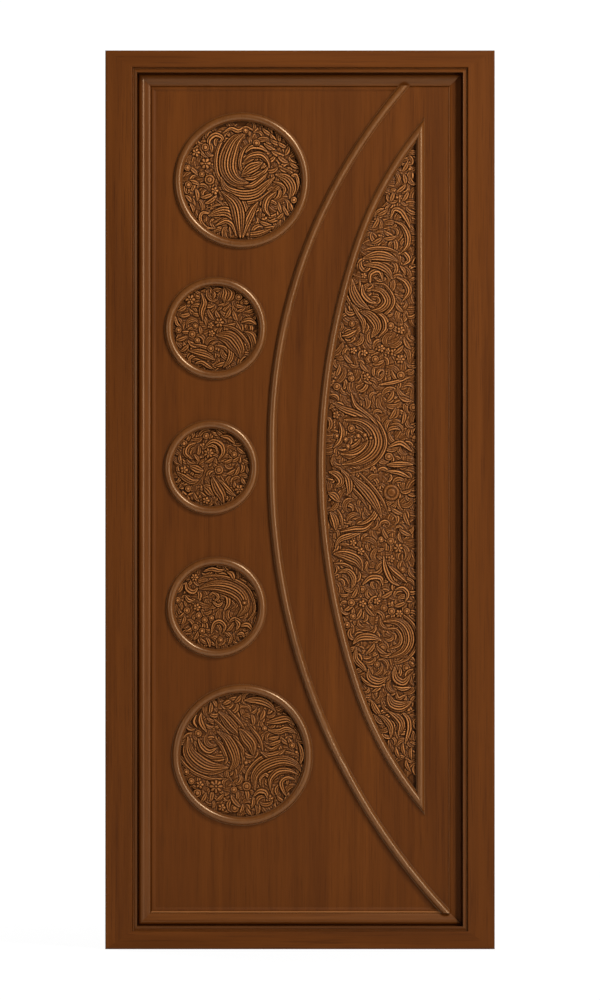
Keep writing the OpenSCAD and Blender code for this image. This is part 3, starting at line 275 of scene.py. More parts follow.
# Rows of forms as [path, width], (x, z, angle, length, width) and (x, z, radius, petals),
# in millimetres from the middle of a medallion, or from the straight bead and the middle height
TOP = dict(r=139, plumes=[
    [[[7, 112], [-18, 90], [-32, 56], [-31, 24], [-14, 0], [14, -6]], 46],
    [[[0, 14], [20, 28], [48, 42]], 26],
    [[[4, 44], [20, 58], [44, 60], [60, 46], [64, 30]], 18],
    [[[8, 66], [22, 78], [44, 78], [62, 66]], 14],
    [[[4, 4], [30, 6], [52, 20], [62, 34]], 14],
    [[[-50, 8], [-36, -20], [-2, -34], [31, -30], [54, -12], [76, 8]], 26],
    [[[-2, -12], [22, -12], [44, 2], [60, 18]], 17],
    [[[-4, -133], [-8, -84], [-20, -50], [-48, -26]], 34],
    [[[-10, -112], [-18, -86], [-40, -72], [-78, -82]], 26],
    [[[-14, -130], [-20, -106], [-38, -94], [-62, -106]], 17],
    [[[-62, -112], [-84, -110], [-98, -92], [-92, -76], [-66, -80]], 10],
    [[[2, -133], [10, -100], [22, -74], [38, -50]], 22],
    [[[80, 14], [104, 4], [118, -18], [112, -42]], 26],
    [[[80, -26], [60, -44], [54, -66], [66, -84]], 18],
    [[[116, -20], [116, 6], [127, 12], [132, -8], [126, -32]], 10],
    [[[-74, 72], [-78, 94], [-62, 108], [-46, 100], [-54, 88]], 14],
    [[[-44, 112], [-26, 122], [-8, 116], [10, 124], [26, 118]], 12],
], leaves=[
    (48, 120, -35, 26, 9), (66, 108, -50, 24, 9), (52, 84, -30, 26, 9), (66, 94, -25, 28, 9),
    (84, 88, -30, 24, 9), (70, 66, -20, 28, 10), (84, 56, -35, 26, 10), (104, 60, 70, 22, 10),
    (112, 40, -30, 24, 9), (86, 34, -40, 24, 9), (34, -60, 80, 26, 9), (44, -74, 60, 24, 9),
    (84, -54, -70, 26, 9), (96, -62, -60, 24, 9), (112, -54, -70, 22, 8), (42, -98, -20, 26, 9),
    (64, -98, 20, 26, 9), (82, -92, 40, 22, 8), (54, -114, 10, 24, 8), (6, -131, 10, 62, 12),
    (-104, 16, 140, 26, 9), (-118, -26, 70, 24, 9), (-102, -46, 100, 26, 9), (-118, -50, 130, 20, 9),
    (-94, -42, 20, 28, 9), (-84, -56, 35, 30, 9), (-112, -74, 110, 22, 8), (-100, -8, 160, 26, 9),
], buds=[
    (-86, 40, 14, 6), (-76, 2, 13, 0), (-108, 66, 11, 5), (-86, 78, 10, 0), (-128, 30, 8, 0), (8, 118, 8, 0),
    (34, 88, 9, 0), (-126, -10, 9, 0), (-64, -24, 10, 5), (122, -46, 8, 0)])
UPPER = dict(r=100, plumes=[
    [[[2, -16], [32, -24], [52, -46], [58, -70]], 40],
    [[[68, -8], [84, -16], [91, -34], [84, -52]], 22],
    [[[18, -92], [32, -76], [36, -54], [26, -34]], 16],
    [[[-62, -54], [-40, -58], [-18, -66], [-2, -74]], 24],
    [[[-58, -88], [-62, -72], [-48, -64], [-30, -74]], 10],
    [[[-50, -84], [-34, -80], [-18, -90], [-4, -97]], 12],
    [[[20, 96], [24, 80], [20, 62]], 46],
    [[[-34, 82], [-28, 60], [-34, 40], [-30, 18]], 18],
    [[[-96, 30], [-92, 12], [-80, 0]], 10],
    [[[60, 14], [78, 18], [96, 10]], 18],
], leaves=[
    (-88, 40, 30, 22, 9), (-84, 28, 10, 24, 9), (-64, 44, -40, 22, 8), (-56, 34, -10, 24, 8),
    (-20, 42, -60, 26, 9), (-2, 40, -60, 24, 9), (10, 38, -30, 30, 9), (24, 24, 60, 24, 9),
    (40, 40, -70, 24, 9), (52, 38, 30, 22, 8), (8, 52, 20, 26, 8), (42, 56, -20, 24, 8),
    (84, 54, -60, 20, 8), (46, 14, -60, 26, 9), (70, 36, 20, 24, 8), (22, 4, 10, 26, 8),
    (-92, -30, 20, 26, 9), (-78, -34, -60, 24, 9), (-66, -32, -30, 26, 10), (-82, -56, 40, 24, 9),
    (-80, -10, 0, 22, 8), (-34, -14, 100, 20, 8), (-20, 8, 110, 24, 8), (0, -90, 20, 24, 9),
], buds=[
    (-10, -12, 9, 5), (-60, 68, 13, 6), (-56, -14, 9, 0), (-48, 6, 7, 0), (-44, -28, 7, 0), (-88, -4, 8, 0),
    (-12, -48, 9, 0), (72, 64, 8, 0), (54, 74, 9, 0), (8, 14, 12, 6)])
MIDDLE = dict(r=91, plumes=[
    [[[-16, 48], [4, 62], [24, 52], [28, 34], [16, 18]], 14],
    [[[-18, 42], [-4, 52], [10, 48], [14, 36]], 10],
    [[[-36, 58], [-54, 50], [-60, 34], [-46, 20]], 18],
    [[[2, -22], [12, -44], [24, -64], [28, -84]], 28],
    [[[12, -24], [30, -44], [46, -60], [58, -68]], 16],
    [[[-80, -12], [-62, -22], [-44, -32], [-30, -30]], 22],
    [[[-50, 4], [-34, -4], [-18, -8]], 20],
    [[[-18, -42], [-6, -52], [6, -66]], 26],
    [[[22, 74], [42, 70], [56, 56]], 14],
], leaves=[
    (0, 82, -20, 22, 8), (12, 86, -40, 20, 8), (-46, 68, 70, 20, 8), (-58, 60, 60, 20, 8),
    (-76, 30, -80, 22, 8), (-72, 44, 40, 20, 9), (60, 46, -40, 22, 8), (64, 30, -80, 20, 8),
    (42, 40, -50, 24, 8), (40, 26, -40, 24, 8), (74, 18, -30, 18, 8), (82, 2, -70, 22, 8),
    (48, 12, 30, 22, 8), (30, 10, 20, 22, 8), (-30, 28, 80, 22, 8), (-28, 14, 120, 20, 8),
    (-12, 10, 30, 22, 8), (4, 8, -40, 20, 8), (56, -20, 60, 22, 8), (70, -24, -60, 20, 8),
    (52, -34, -70, 22, 8), (38, -18, 30, 22, 8), (-66, -44, 20, 22, 8), (-68, -58, -50, 20, 9),
    (-42, -62, -60, 22, 8), (-58, -66, -70, 20, 8), (-28, -74, 60, 20, 8), (6, -84, 60, 20, 8),
], buds=[
    (-6, 34, 13, 7), (-12, 74, 8, 0), (-64, 56, 9, 0), (-64, -6, 10, 5), (54, 30, 8, 0), (-12, -78, 10, 5),
    (66, -52, 12, 6), (-54, -50, 8, 0), (18, -6, 11, 0)])
LOWER = dict(r=98, plumes=[
    [[[-40, 44], [-4, 50], [32, 42], [58, 24], [66, -2], [50, -22]], 38],
    [[[-18, 26], [-6, 34], [4, 24], [-6, 12]], 10],
    [[[8, 30], [24, 26], [28, 8], [18, -8]], 14],
    [[[-10, 14], [4, 4], [16, 12]], 10],
    [[[-72, 58], [-68, 42], [-54, 36], [-44, 46]], 14],
    [[[-74, 28], [-66, 16], [-52, 14]], 12],
    [[[-12, -62], [-6, -40], [8, -34], [20, -46], [14, -62]], 12],
    [[[56, -44], [74, -42], [84, -54]], 14],
    [[[42, -28], [52, -40], [46, -54]], 12],
    [[[48, -66], [60, -62], [66, -72]], 10],
    [[[-30, 84], [-12, 90], [6, 86], [20, 90]], 12],
    [[[24, 84], [36, 78], [42, 64]], 14],
], leaves=[
    (-90, 34, 60, 22, 8), (-94, -8, 100, 22, 8), (-88, -26, 40, 24, 8), (-80, -42, 70, 22, 8),
    (-72, -60, 30, 24, 8), (-52, -78, 60, 24, 8), (-40, -74, -40, 22, 8), (-14, -92, 110, 22, 8),
    (6, -92, 40, 22, 8), (30, -88, 70, 22, 8), (38, -82, -30, 22, 8), (54, -70, 20, 24, 8),
    (92, 8, 100, 22, 8), (90, -24, -70, 22, 8), (54, 66, -30, 24, 8), (72, 58, -50, 24, 8),
    (86, 36, -60, 20, 8), (26, -58, 50, 24, 8),
], buds=[
    (-42, -20, 8, 0), (-28, -30, 8, 0), (-12, -26, 7, 0), (-46, 0, 10, 5), (-50, -48, 9, 0), (-34, -56, 8, 0),
    (-52, 70, 10, 6), (-92, 16, 8, 0), (10, -78, 7, 0), (-70, -8, 8, 0), (66, 10, 7, 0)])
BOTTOM = dict(r=145, plumes=[
    [[[-128, 40], [-126, 6], [-104, -18], [-70, -32], [-34, -30]], 40],
    [[[-104, 38], [-94, 18], [-78, 8], [-60, 16]], 14],
    [[[-58, 54], [-36, 36], [-22, 8], [-18, -18], [-30, -38]], 30],
    [[[-8, 60], [6, 44], [20, 24], [26, 0]], 36],
    [[[-56, 100], [-40, 84], [-20, 62], [-6, 44]], 28],
    [[[4, 128], [34, 128], [60, 120], [78, 102]], 20],
    [[[-96, 98], [-98, 78], [-84, 54]], 14],
    [[[-108, 94], [-114, 78], [-106, 64]], 8],
    [[[30, -84], [30, -50], [52, -26], [92, -14], [124, -22], [138, -40]], 30],
    [[[44, -74], [42, -56], [54, -46], [64, -58], [58, -74]], 10],
    [[[66, -84], [66, -58], [84, -40], [110, -38], [130, -46]], 18],
    [[[104, -98], [94, -80], [92, -64], [106, -54], [124, -58]], 12],
    [[[26, -98], [38, -86], [54, -88], [60, -104]], 14],
    [[[58, 76], [82, 80], [106, 84], [122, 70]], 20],
    [[[60, 58], [84, 54], [104, 60], [128, 50]], 16],
    [[[130, 30], [138, 14], [140, -6], [134, -24]], 12],
    [[[44, 6], [62, -4], [80, -2], [100, 12]], 24],
], leaves=[
    (-78, -10, 6, 48, 14), (-44, 118, 30, 22, 9), (-30, 130, 10, 22, 9), (-60, 114, 120, 18, 8),
    (-16, 122, 50, 22, 9), (-76, 96, 80, 26, 9), (62, 96, 60, 22, 10), (96, 94, -30, 32, 9),
    (28, 70, 100, 26, 9), (44, 82, 70, 24, 10), (88, 40, -40, 26, 9), (62, 36, 10, 24, 9),
    (64, 22, 20, 28, 9), (106, 40, -60, 24, 9), (-96, -112, 60, 24, 9), (-74, -110, 80, 26, 9),
    (-28, -98, -50, 34, 10), (-60, -108, 40, 22, 8), (-4, -138, 70, 22, 8), (8, -124, -60, 22, 8),
    (24, -124, 80, 26, 8), (80, -98, -40, 24, 8), (74, -116, -70, 20, 8), (100, -108, 60, 20, 8),
    (14, -104, 100, 26, 9),
], buds=[
    (-100, -70, 10, 5), (-62, -74, 17, 8), (-106, -90, 10, 0), (-48, -124, 10, 5), (-20, -82, 8, 0),
    (10, -74, 11, 0), (-104, 50, 9, 0), (-132, -40, 8, 0), (116, 22, 8, 0), (8, -18, 5, 0), (52, 62, 6, 0),
    (-120, -62, 8, 0)])
MOON = dict(plumes=[
    [[[-70, 580], [-62, 600], [-46, 596], [-32, 576], [-24, 556]], 14],
    [[[-60, 572], [-42, 562], [-31, 540], [-32, 516], [-46, 498]], 18],
    [[[-134, 486], [-106, 492], [-78, 490], [-54, 480]], 26],
    [[[-54, 496], [-38, 498], [-28, 482], [-42, 470]], 12],
    [[[-132, 470], [-102, 470], [-78, 458], [-66, 438]], 20],
    [[[-118, 428], [-116, 448], [-98, 454], [-88, 434]], 18],
    [[[-56, 442], [-36, 430], [-28, 408], [-42, 386]], 18],
    [[[-160, 436], [-158, 408], [-144, 384], [-120, 366]], 26],
    [[[-136, 424], [-134, 402], [-118, 386], [-102, 382]], 14],
    [[[-114, 412], [-92, 408], [-80, 386], [-94, 368], [-118, 362]], 24],
    [[[-164, 384], [-148, 362], [-134, 338], [-134, 312]], 16],
    [[[-142, 362], [-118, 350], [-104, 326], [-114, 302]], 30],
    [[[-106, 362], [-86, 346], [-82, 322], [-98, 302]], 18],
    [[[-184, 304], [-166, 308], [-150, 318]], 18],
    [[[-98, 190], [-62, 196], [-24, 208]], 10],
    [[[-206, 148], [-178, 132], [-146, 120], [-118, 100], [-102, 76]], 20],
    [[[-162, 170], [-154, 144], [-134, 124], [-110, 104], [-96, 80]], 18],
    [[[-178, 108], [-142, 104], [-114, 84], [-104, 54], [-118, 28], [-150, 10], [-182, 4]], 34],
    [[[-186, 28], [-158, 26], [-134, 40], [-122, 60]], 28],
    [[[-204, 42], [-190, 58], [-184, 80], [-190, 102]], 18],
    [[[-76, 44], [-46, 54], [-20, 34]], 14],
    [[[-80, 2], [-50, 4], [-18, 4]], 16],
    [[[-80, -12], [-52, -16], [-24, -28]], 12],
    [[[-214, -14], [-196, -22], [-188, -38], [-200, -50]], 24],
    [[[-186, -8], [-170, -30], [-166, -54], [-172, -68]], 20],
    [[[-164, -22], [-142, -44], [-122, -66], [-104, -92], [-92, -120]], 26],
    [[[-150, -40], [-132, -60], [-120, -84], [-118, -104]], 18],
    [[[-216, -62], [-200, -72], [-190, -84]], 20],
    [[[-212, -108], [-204, -122], [-198, -150]], 24],
    [[[-106, -80], [-104, -108], [-122, -130], [-152, -140]], 16],
    [[[-186, -154], [-158, -148], [-130, -146], [-110, -128]], 18],
    [[[-200, -192], [-188, -172], [-162, -162], [-132, -152]], 16],
    [[[-202, -206], [-174, -208], [-148, -222], [-136, -244]], 36],
    [[[-192, -250], [-170, -246], [-156, -264], [-162, -290]], 16],
    [[[-136, -278], [-118, -262], [-94, -262], [-88, -280]], 14],
    [[[-86, -212], [-82, -240], [-68, -268], [-50, -280]], 14],
    [[[-76, -232], [-56, -252], [-32, -272]], 18],
    [[[-60, -290], [-42, -286], [-30, -300], [-36, -318]], 12],
    [[[-86, -364], [-54, -364], [-32, -384], [-27, -412], [-42, -436], [-74, -448]], 28],
    [[[-158, -416], [-142, -402], [-114, -400], [-92, -408]], 20],
    [[[-150, -424], [-152, -450], [-136, -470], [-124, -484]], 16],
    [[[-122, -476], [-118, -496], [-98, -504], [-78, -494]], 20],
    [[[-60, -470], [-58, -496], [-40, -506], [-24, -488]], 20],
    [[[-140, -492], [-128, -506], [-106, -514], [-82, -512]], 12],
    [[[-76, -534], [-68, -556], [-46, -564], [-22, -552]], 30],
    [[[-60, -516], [-42, -522], [-22, -518]], 12],
    [[[-116, -548], [-106, -568], [-92, -588]], 16],
    [[[-100, -582], [-82, -594], [-70, -612], [-70, -636]], 16],
    [[[-76, -574], [-56, -588], [-46, -606], [-52, -630]], 24],
    [[[-46, -574], [-30, -590], [-26, -616], [-36, -650]], 14],
], leaves=[
    (-40, 690, 60, 24, 9), (-34, 660, 100, 24, 9), (-54, 640, 40, 26, 9), (-70, 618, 70, 24, 9),
    (-40, 620, 60, 24, 9), (-98, 586, 30, 24, 9), (-110, 556, 60, 26, 9), (-86, 548, -30, 26, 9),
    (-112, 520, 30, 26, 9), (-84, 530, 10, 26, 9), (-34, 450, 120, 22, 8), (-60, 380, -50, 26, 9),
    (-40, 298, -60, 28, 10), (-70, 222, -60, 28, 8), (-142, 240, -50, 26, 9), (-180, 260, -50, 26, 9),
    (-60, 262, 40, 26, 9), (-110, 236, 20, 26, 9), (-140, 210, -40, 30, 9), (-196, 210, 70, 26, 9),
    (-76, 150, 60, 28, 10), (-50, 160, -20, 28, 10), (-70, 110, 60, 28, 9), (-40, 100, 80, 26, 9),
    (-70, -100, -30, 30, 9), (-40, -110, -70, 30, 9), (-90, -150, -60, 28, 9), (-50, -150, -30, 28, 9),
    (-160, -310, 60, 26, 9), (-130, -330, -50, 28, 9), (-90, -310, 30, 28, 9), (-60, -330, 20, 28, 9),
    (-176, -340, 40, 26, 9), (-150, -360, 60, 26, 9), (-124, -440, 50, 28, 9), (-104, -424, -40, 28, 9),
    (-110, -530, 40, 26, 9), (-60, -660, -70, 26, 8), (-44, -650, -80, 28, 8), (-36, -690, -70, 26, 8),
    (-24, -660, -90, 26, 8),
], buds=[
    (-132, 265, 9, 5), (-92, 275, 10, 5), (-48, 250, 12, 6), (-70, 328, 9, 0), (-46, 318, 10, 5),
    (-106, 250, 9, 0), (-157, 270, 9, 5), (-162, 205, 8, 0), (-126, 208, 10, 5), (-196, 186, 9, 0),
    (-46, 212, 10, 0), (-130, 72, 6, 0), (-116, 66, 5, 0), (-146, 70, 6, 0), (-162, 88, 9, 0),
    (-176, 62, 6, 0), (-170, 46, 6, 0), (-196, 70, 7, 0), (-74, 22, 10, 0), (-68, -62, 20, 0),
    (-158, -180, 9, 5), (-140, -200, 10, 5), (-52, -192, 12, 6), (-70, -176, 9, 0), (-92, -172, 7, 0),
    (-162, -320, 9, 0), (-136, -322, 10, 5), (-102, -316, 9, 5), (-50, -346, 10, 6), (-68, -340, 9, 0),
    (-32, -340, 8, 0), (-158, -352, 8, 0), (-172, -372, 8, 0)])


def box_mm(node):
    lo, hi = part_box(node)
    return np.array(lo) / MM, np.array(hi) / MM


carvings = {}


def carve_disc(place, motif, pitch, seed):
    lo, hi = box_mm(place + "_carving")
    centre = (lo + hi) / 2
    r = (hi[0] - lo[0]) / 2
    c = Carving(-r, r, -r, r, pitch)

    def within(x, z):
        return np.hypot(x, z) - r

    def snap(x, z):
        d = np.maximum(np.hypot(x, z), 1e-6)
        return x * r / d, z * r / d

    rng = np.random.default_rng(seed)
    c.undergrowth(rng, within)
    c.draw(motif["plumes"], motif["leaves"], motif["buds"], r / motif["r"])
    c.finish(rng)
    name = place + "_carving_relief"
    carvings[name] = carved_piece(name, c, within, snap, (centre[0], centre[2]), hi[1]), place + "_carving"


carve_disc("top", TOP, 0.95, 11)
carve_disc("upper", UPPER, 0.75, 12)
carve_disc("middle", MIDDLE, 0.75, 13)
carve_disc("lower", LOWER, 0.75, 14)
carve_disc("bottom", BOTTOM, 0.95, 15)

# The half-moon lies between the straight bead and the curved beads
moon_lo, moon_hi = box_mm("moon_carving")
moon_mid = (moon_lo[2] + moon_hi[2]) / 2
moon_bead_lo, moon_bead_hi = box_mm("moon_straight_bead")
moon_edge = moon_hi[0]
moon_line = (moon_bead_lo[0] + moon_bead_hi[0]) / 2
MOON_R, MOON_END_R, MOON_TURN = 1635.4, 864.1, math.radians(18.5)
moon_in = moon_edge - moon_line
mid_r, end_r = MOON_R + moon_in, MOON_END_R + moon_in
mid_x = moon_lo[0] + mid_r
end_x = mid_x - (MOON_R - MOON_END_R) * math.cos(MOON_TURN)
end_z = (MOON_R - MOON_END_R) * math.sin(MOON_TURN)


def moon_curve(x, z):
    """Centre and radius of the curved edge that faces each point."""
    dz = z - moon_mid
    tip = np.abs(dz) > (mid_x - x) * math.tan(MOON_TURN)
    cx = np.where(tip, end_x, mid_x)
    cz = moon_mid + np.where(tip, np.sign(dz) * end_z, 0)
    return cx, cz, np.where(tip, end_r, mid_r)


def moon_within(x, z):
    cx, cz, r = moon_curve(x, z)
    return np.maximum(np.hypot(x - cx, z - cz) - r, x - moon_edge)


def moon_snap(x, z):
    cx, cz, r = moon_curve(x, z)
    d = np.hypot(x - cx, z - cz)
    curved = d - r > x - moon_edge
    return (np.where(curved, cx + (x - cx) * r / d, moon_edge), np.where(curved, cz + (z - cz) * r / d, z))


def carve_moon(pitch, seed):
    """One carving in two pieces, which meet along a row at the middle height."""
    c = Carving(moon_lo[0] - 2, moon_edge + 2, moon_lo[2] - 2, moon_hi[2] + 2, pitch)
    rng = np.random.default_rng(seed)
    c.undergrowth(rng, moon_within)
    c.draw(MOON["plumes"], MOON["leaves"], MOON["buds"], at=(moon_line, moon_mid))
    c.finish(rng)
    half = len(c.zs) // 2
    for part, rows in (("lower", c.rows(0, half + 1)), ("upper", c.rows(half, len(c.zs)))):
        name = "moon_carving_" + part
        carvings[name] = carved_piece(name, rows, moon_within, moon_snap, (0, 0), moon_hi[1]), "moon_carving"


carve_moon(1.1, 21)


# Materials

def group(name, inputs, outputs):
    tree = bpy.data.node_groups.new(name, "ShaderNodeTree")
    for label, kind, value in inputs:
        socket = tree.interface.new_socket(name=label, in_out="INPUT", socket_type=kind)
        if value is not None:
            socket.default_value = value
    for label, kind in outputs:
        tree.interface.new_socket(name=label, in_out="OUTPUT", socket_type=kind)
    return tree, tree.nodes.new("NodeGroupInput"), tree.nodes.new("NodeGroupOutput")


class Wiring:
    """Short calls for making and joining nodes in one tree."""

    def __init__(self, tree):
        self.tree = tree

    def node(self, kind, links=None, **settings):
        n = self.tree.nodes.new(kind)
        for key, value in settings.items():
            setattr(n, key, value)
        for key, value in (links or {}).items():
            socket = n.inputs[key]
            if isinstance(value, bpy.types.NodeSocket):
                self.tree.links.new(value, socket)
            else:
                socket.default_value = value
        return n

    def math(self, operation, a, b=0.0, clamp=False):
        return self.node("ShaderNodeMath", {0: a, 1: b}, operation=operation, use_clamp=clamp).outputs[0]

    def mix(self, factor, a, b, blend="MIX"):
        n = self.node("ShaderNodeMix", {0: factor, 6: a, 7: b}, data_type="RGBA", blend_type=blend)
        return n.outputs[2]

    def noise(self, vector, scale, detail=3.0, distortion=0.0):
        return self.node("ShaderNodeTexNoise", {"Vector": vector, "Scale": scale, "Detail": detail,
                                                "Distortion": distortion}).outputs["Fac"]

    def span(self, value, low, high, to_low=0.0, to_high=1.0):
        return self.node("ShaderNodeMapRange", {"Value": value, "From Min": low, "From Max": high,
                                                "To Min": to_low, "To Max": to_high}).outputs["Result"]


def grain_group():
    """Wood figure along Z of the vector: broad bands, fine streaks and pores."""
    tree, inside, outside = group("wood_grain", [
        ("Vector", "NodeSocketVector", None),
        ("Dark", "NodeSocketColor", (0.05, 0.02, 0.01, 1)),
        ("Light", "NodeSocketColor", (0.2, 0.1, 0.04, 1))],
        [("Color", "NodeSocketColor"), ("Height", "NodeSocketFloat"), ("Gloss", "NodeSocketFloat")])
    w = Wiring(tree)

    def stretched(along):
        return w.node("ShaderNodeVectorMath", {0: inside.outputs["Vector"], 1: (1, 1, along)},
                      operation="MULTIPLY").outputs[0]

    band = w.noise(stretched(0.05), 20, 3, 0.8)
    streak = w.noise(stretched(0.025), 120, 4, 0.2)
    pore = w.noise(stretched(0.02), 520, 2)
    pores = w.span(pore, 0.3, 0.46)
    tone = w.math("ADD", w.math("MULTIPLY", w.span(band, 0.25, 0.75), 0.6),
                  w.math("MULTIPLY", w.span(streak, 0.2, 0.8), 0.4))
    color = w.mix(tone, inside.outputs["Dark"], inside.outputs["Light"])
    dark_pores = w.mix(w.math("SUBTRACT", 1.0, pores), color, (0.72, 0.68, 0.64, 1), "MULTIPLY")
    tree.links.new(dark_pores, outside.inputs["Color"])
    tree.links.new(w.math("ADD", w.math("MULTIPLY", pores, 0.7), w.math("MULTIPLY", streak, 0.3)),
                   outside.inputs["Height"])
    tree.links.new(w.span(streak, 0.3, 0.7, -0.04, 0.04), outside.inputs["Gloss"])
    return tree


def hollow_shade_group():
    """Painted shade: darkens a colour in corners and hollows, where less light reaches."""
    tree, inside, outside = group("painted_hollow_shade", [
        ("Color", "NodeSocketColor", (0.2, 0.1, 0.04, 1)),
        ("Reach", "NodeSocketFloat", 0.02),
        ("Amount", "NodeSocketFloat", 0.6)],
        [("Color", "NodeSocketColor")])
    w = Wiring(tree)
    ao = w.node("ShaderNodeAmbientOcclusion", {"Distance": inside.outputs["Reach"]}, samples=6)
    painted_shade = w.math("SUBTRACT", 1.0, w.span(ao.outputs["AO"], 0.25, 0.95))
    color = w.mix(w.math("MULTIPLY", painted_shade, inside.outputs["Amount"]), inside.outputs["Color"],
                  (0.012, 0.005, 0.002, 1))
    tree.links.new(color, outside.inputs["Color"])
    return tree


GRAIN = grain_group()
HOLLOW_SHADE = hollow_shade_group()


def wood(name, dark, light, across=False, wear_and_shade_amount=0.0, shade_amount=0.15, reach=0.012,
         gloss=0.17, rough=0.5, bump=0.08, tint=(1.0, 0.80, 0.60, 1)):
    """Varnished wood, its grain upright or across; the carving amount is how far ridges get rubbed wear and a
    painted highlight, and grooves and low ground a painted shade.
    """
    mat = bpy.data.materials.new(name)
    mat.use_nodes = True
    w = Wiring(mat.node_tree)
    shader = mat.node_tree.nodes["Principled BSDF"]
    place = w.node("ShaderNodeTexCoord").outputs["Object"]
    if across:
        place = w.node("ShaderNodeMapping", {"Vector": place, "Rotation": (0, math.pi / 2, 0)}).outputs[0]
    grain = w.node("ShaderNodeGroup", node_tree=GRAIN)
    w.tree.links.new(place, grain.inputs["Vector"])
    grain.inputs["Dark"].default_value = dark
    grain.inputs["Light"].default_value = light
    color = grain.outputs["Color"]
    if wear_and_shade_amount:
        wear_and_shade = w.node("ShaderNodeAttribute", attribute_name="wear_and_shade").outputs["Fac"]
        height = w.node("ShaderNodeAttribute", attribute_name="height").outputs["Fac"]
        # Painted shade on the low ground and in the grooves of the carving
        color = w.mix(w.span(height, 0.0, 0.25, 0.3, 0.0), color, CARVING_SHADE)
        color = w.mix(w.span(wear_and_shade, 0.0, -0.15, 0.0, 0.95 * wear_and_shade_amount), color, CARVING_SHADE)
        # Rubbed wear and a painted highlight on the ridges of the carving
        color = w.mix(w.span(wear_and_shade, 0.03, 0.2, 0.0, wear_and_shade_amount), color, RIDGE_WEAR_AND_HIGHLIGHT)
    # Painted shade in corners and hollows, found by ambient occlusion
    painted_shade = w.node("ShaderNodeGroup", node_tree=HOLLOW_SHADE)
    w.tree.links.new(color, painted_shade.inputs["Color"])
    painted_shade.inputs["Reach"].default_value = reach
    painted_shade.inputs["Amount"].default_value = shade_amount
    w.tree.links.new(painted_shade.outputs["Color"], shader.inputs["Base Color"])
    w.tree.links.new(w.math("ADD", grain.outputs["Gloss"], rough), shader.inputs["Roughness"])
    pores = w.node("ShaderNodeBump", {"Strength": bump, "Distance": 0.0003,
                                      "Height": grain.outputs["Height"]})
    w.tree.links.new(pores.outputs["Normal"], shader.inputs["Normal"])
    shader.inputs["Specular IOR Level"].default_value = gloss
    shader.inputs["Specular Tint"].default_value = tint
    return mat


def metal(name, color, roughness):
    """Aged metal with duller spots."""
    mat = bpy.data.materials.new(name)
    mat.use_nodes = True
    w = Wiring(mat.node_tree)
    shader = mat.node_tree.nodes["Principled BSDF"]
    place = w.node("ShaderNodeTexCoord").outputs["Object"]
    spots = w.noise(place, 90, 4)
    tint = w.mix(w.span(spots, 0.35, 0.7), color, tuple(0.55 * c for c in color[:3]) + (1,))
    w.tree.links.new(tint, shader.inputs["Base Color"])
    w.tree.links.new(w.span(spots, 0.3, 0.7, roughness, roughness + 0.18), shader.inputs["Roughness"])
    shader.inputs["Metallic"].default_value = 1.0
    return mat


WOOD_DARK = (0.069, 0.0160, 0.0009, 1)
WOOD_LIGHT = (0.138, 0.0362, 0.0032, 1)
CARVING_SHADE = (0.017, 0.0046, 0.0008, 1)  # painted shade in the grooves and on the low ground of the carving
RIDGE_WEAR_AND_HIGHLIGHT = (0.58, 0.228, 0.066, 1)  # worn ridges of the carving, with a painted highlight
# Bead wood is a lighter copy of the field's wood: a painted highlight on the beads and rings
BEAD_DARK = (0.098, 0.0270, 0.0034, 1)
BEAD_LIGHT = (0.152, 0.0470, 0.0070, 1)
LINE_HIGHLIGHT_DARK = (0.24, 0.085, 0.020, 1)  # painted highlight: the fine bead along the bottom painted bright, as if lit from above
LINE_HIGHLIGHT_LIGHT = (0.33, 0.125, 0.034, 1)
CARVED_DARK = (0.104, 0.0300, 0.0045, 1)
CARVED_LIGHT = (0.151, 0.0468, 0.0077, 1)
upright_wood = wood("upright_wood", WOOD_DARK, WOOD_LIGHT)
level_wood = wood("level_wood", WOOD_DARK, WOOD_LIGHT, across=True)
polish = dict(shade_amount=0.3, reach=0.008, rough=0.31, bump=0.02, tint=(1.0, 0.68, 0.40, 1))
bead_wood = wood("bead_wood", BEAD_DARK, BEAD_LIGHT, gloss=1.0, **polish)
border_wood = wood("border_wood", WOOD_DARK, WOOD_LIGHT, gloss=0.6, **polish)
level_border_wood = wood("level_border_wood", WOOD_DARK, WOOD_LIGHT, across=True, gloss=0.6, **polish)
painted_highlight_line_wood = wood("painted_highlight_line_wood", LINE_HIGHLIGHT_DARK, LINE_HIGHLIGHT_LIGHT, across=True, gloss=0.6, **polish)
cut = dict(shade_amount=0.45, reach=0.006, gloss=0.16, rough=0.42)
carved_wood = wood("carved_wood", CARVED_DARK, CARVED_LIGHT, wear_and_shade_amount=1.0, **cut)
medallion_wood = wood("medallion_wood", CARVED_DARK, CARVED_LIGHT, wear_and_shade_amount=0.72, **cut)
brass = metal("aged_brass", (0.42, 0.29, 0.11, 1), 0.32)
steel = metal("screw_steel", (0.5, 0.5, 0.51, 1), 0.3)

FINISH = dict(
    frame_head=level_wood, frame_sill=level_wood,
    hinge_jamb=upright_wood, latch_jamb=upright_wood, corner_dowels=upright_wood, leaf_slab=upright_wood,
    border_top=level_border_wood, border_bottom=level_border_wood,
    border_left=border_wood, border_right=upright_wood)


def material_for(name):
    if name in FINISH:
        return FINISH[name]
    if "hinge" in name:
        return brass
    if "screws" in name:
        return steel
    return carved_wood if "carving" in name else bead_wood


for name, obj in nodes.items():
    obj.data.materials.clear()
    obj.data.materials.append(material_for(name))

for name, (obj, node) in carvings.items():
    obj.data.materials.append(carved_wood if node in ("moon_carving", "top_carving") else medallion_wood)
    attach(obj, "leaf")
    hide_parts(node)


# Fine beads in the sunk edge of the frame and in the groove round the leaf

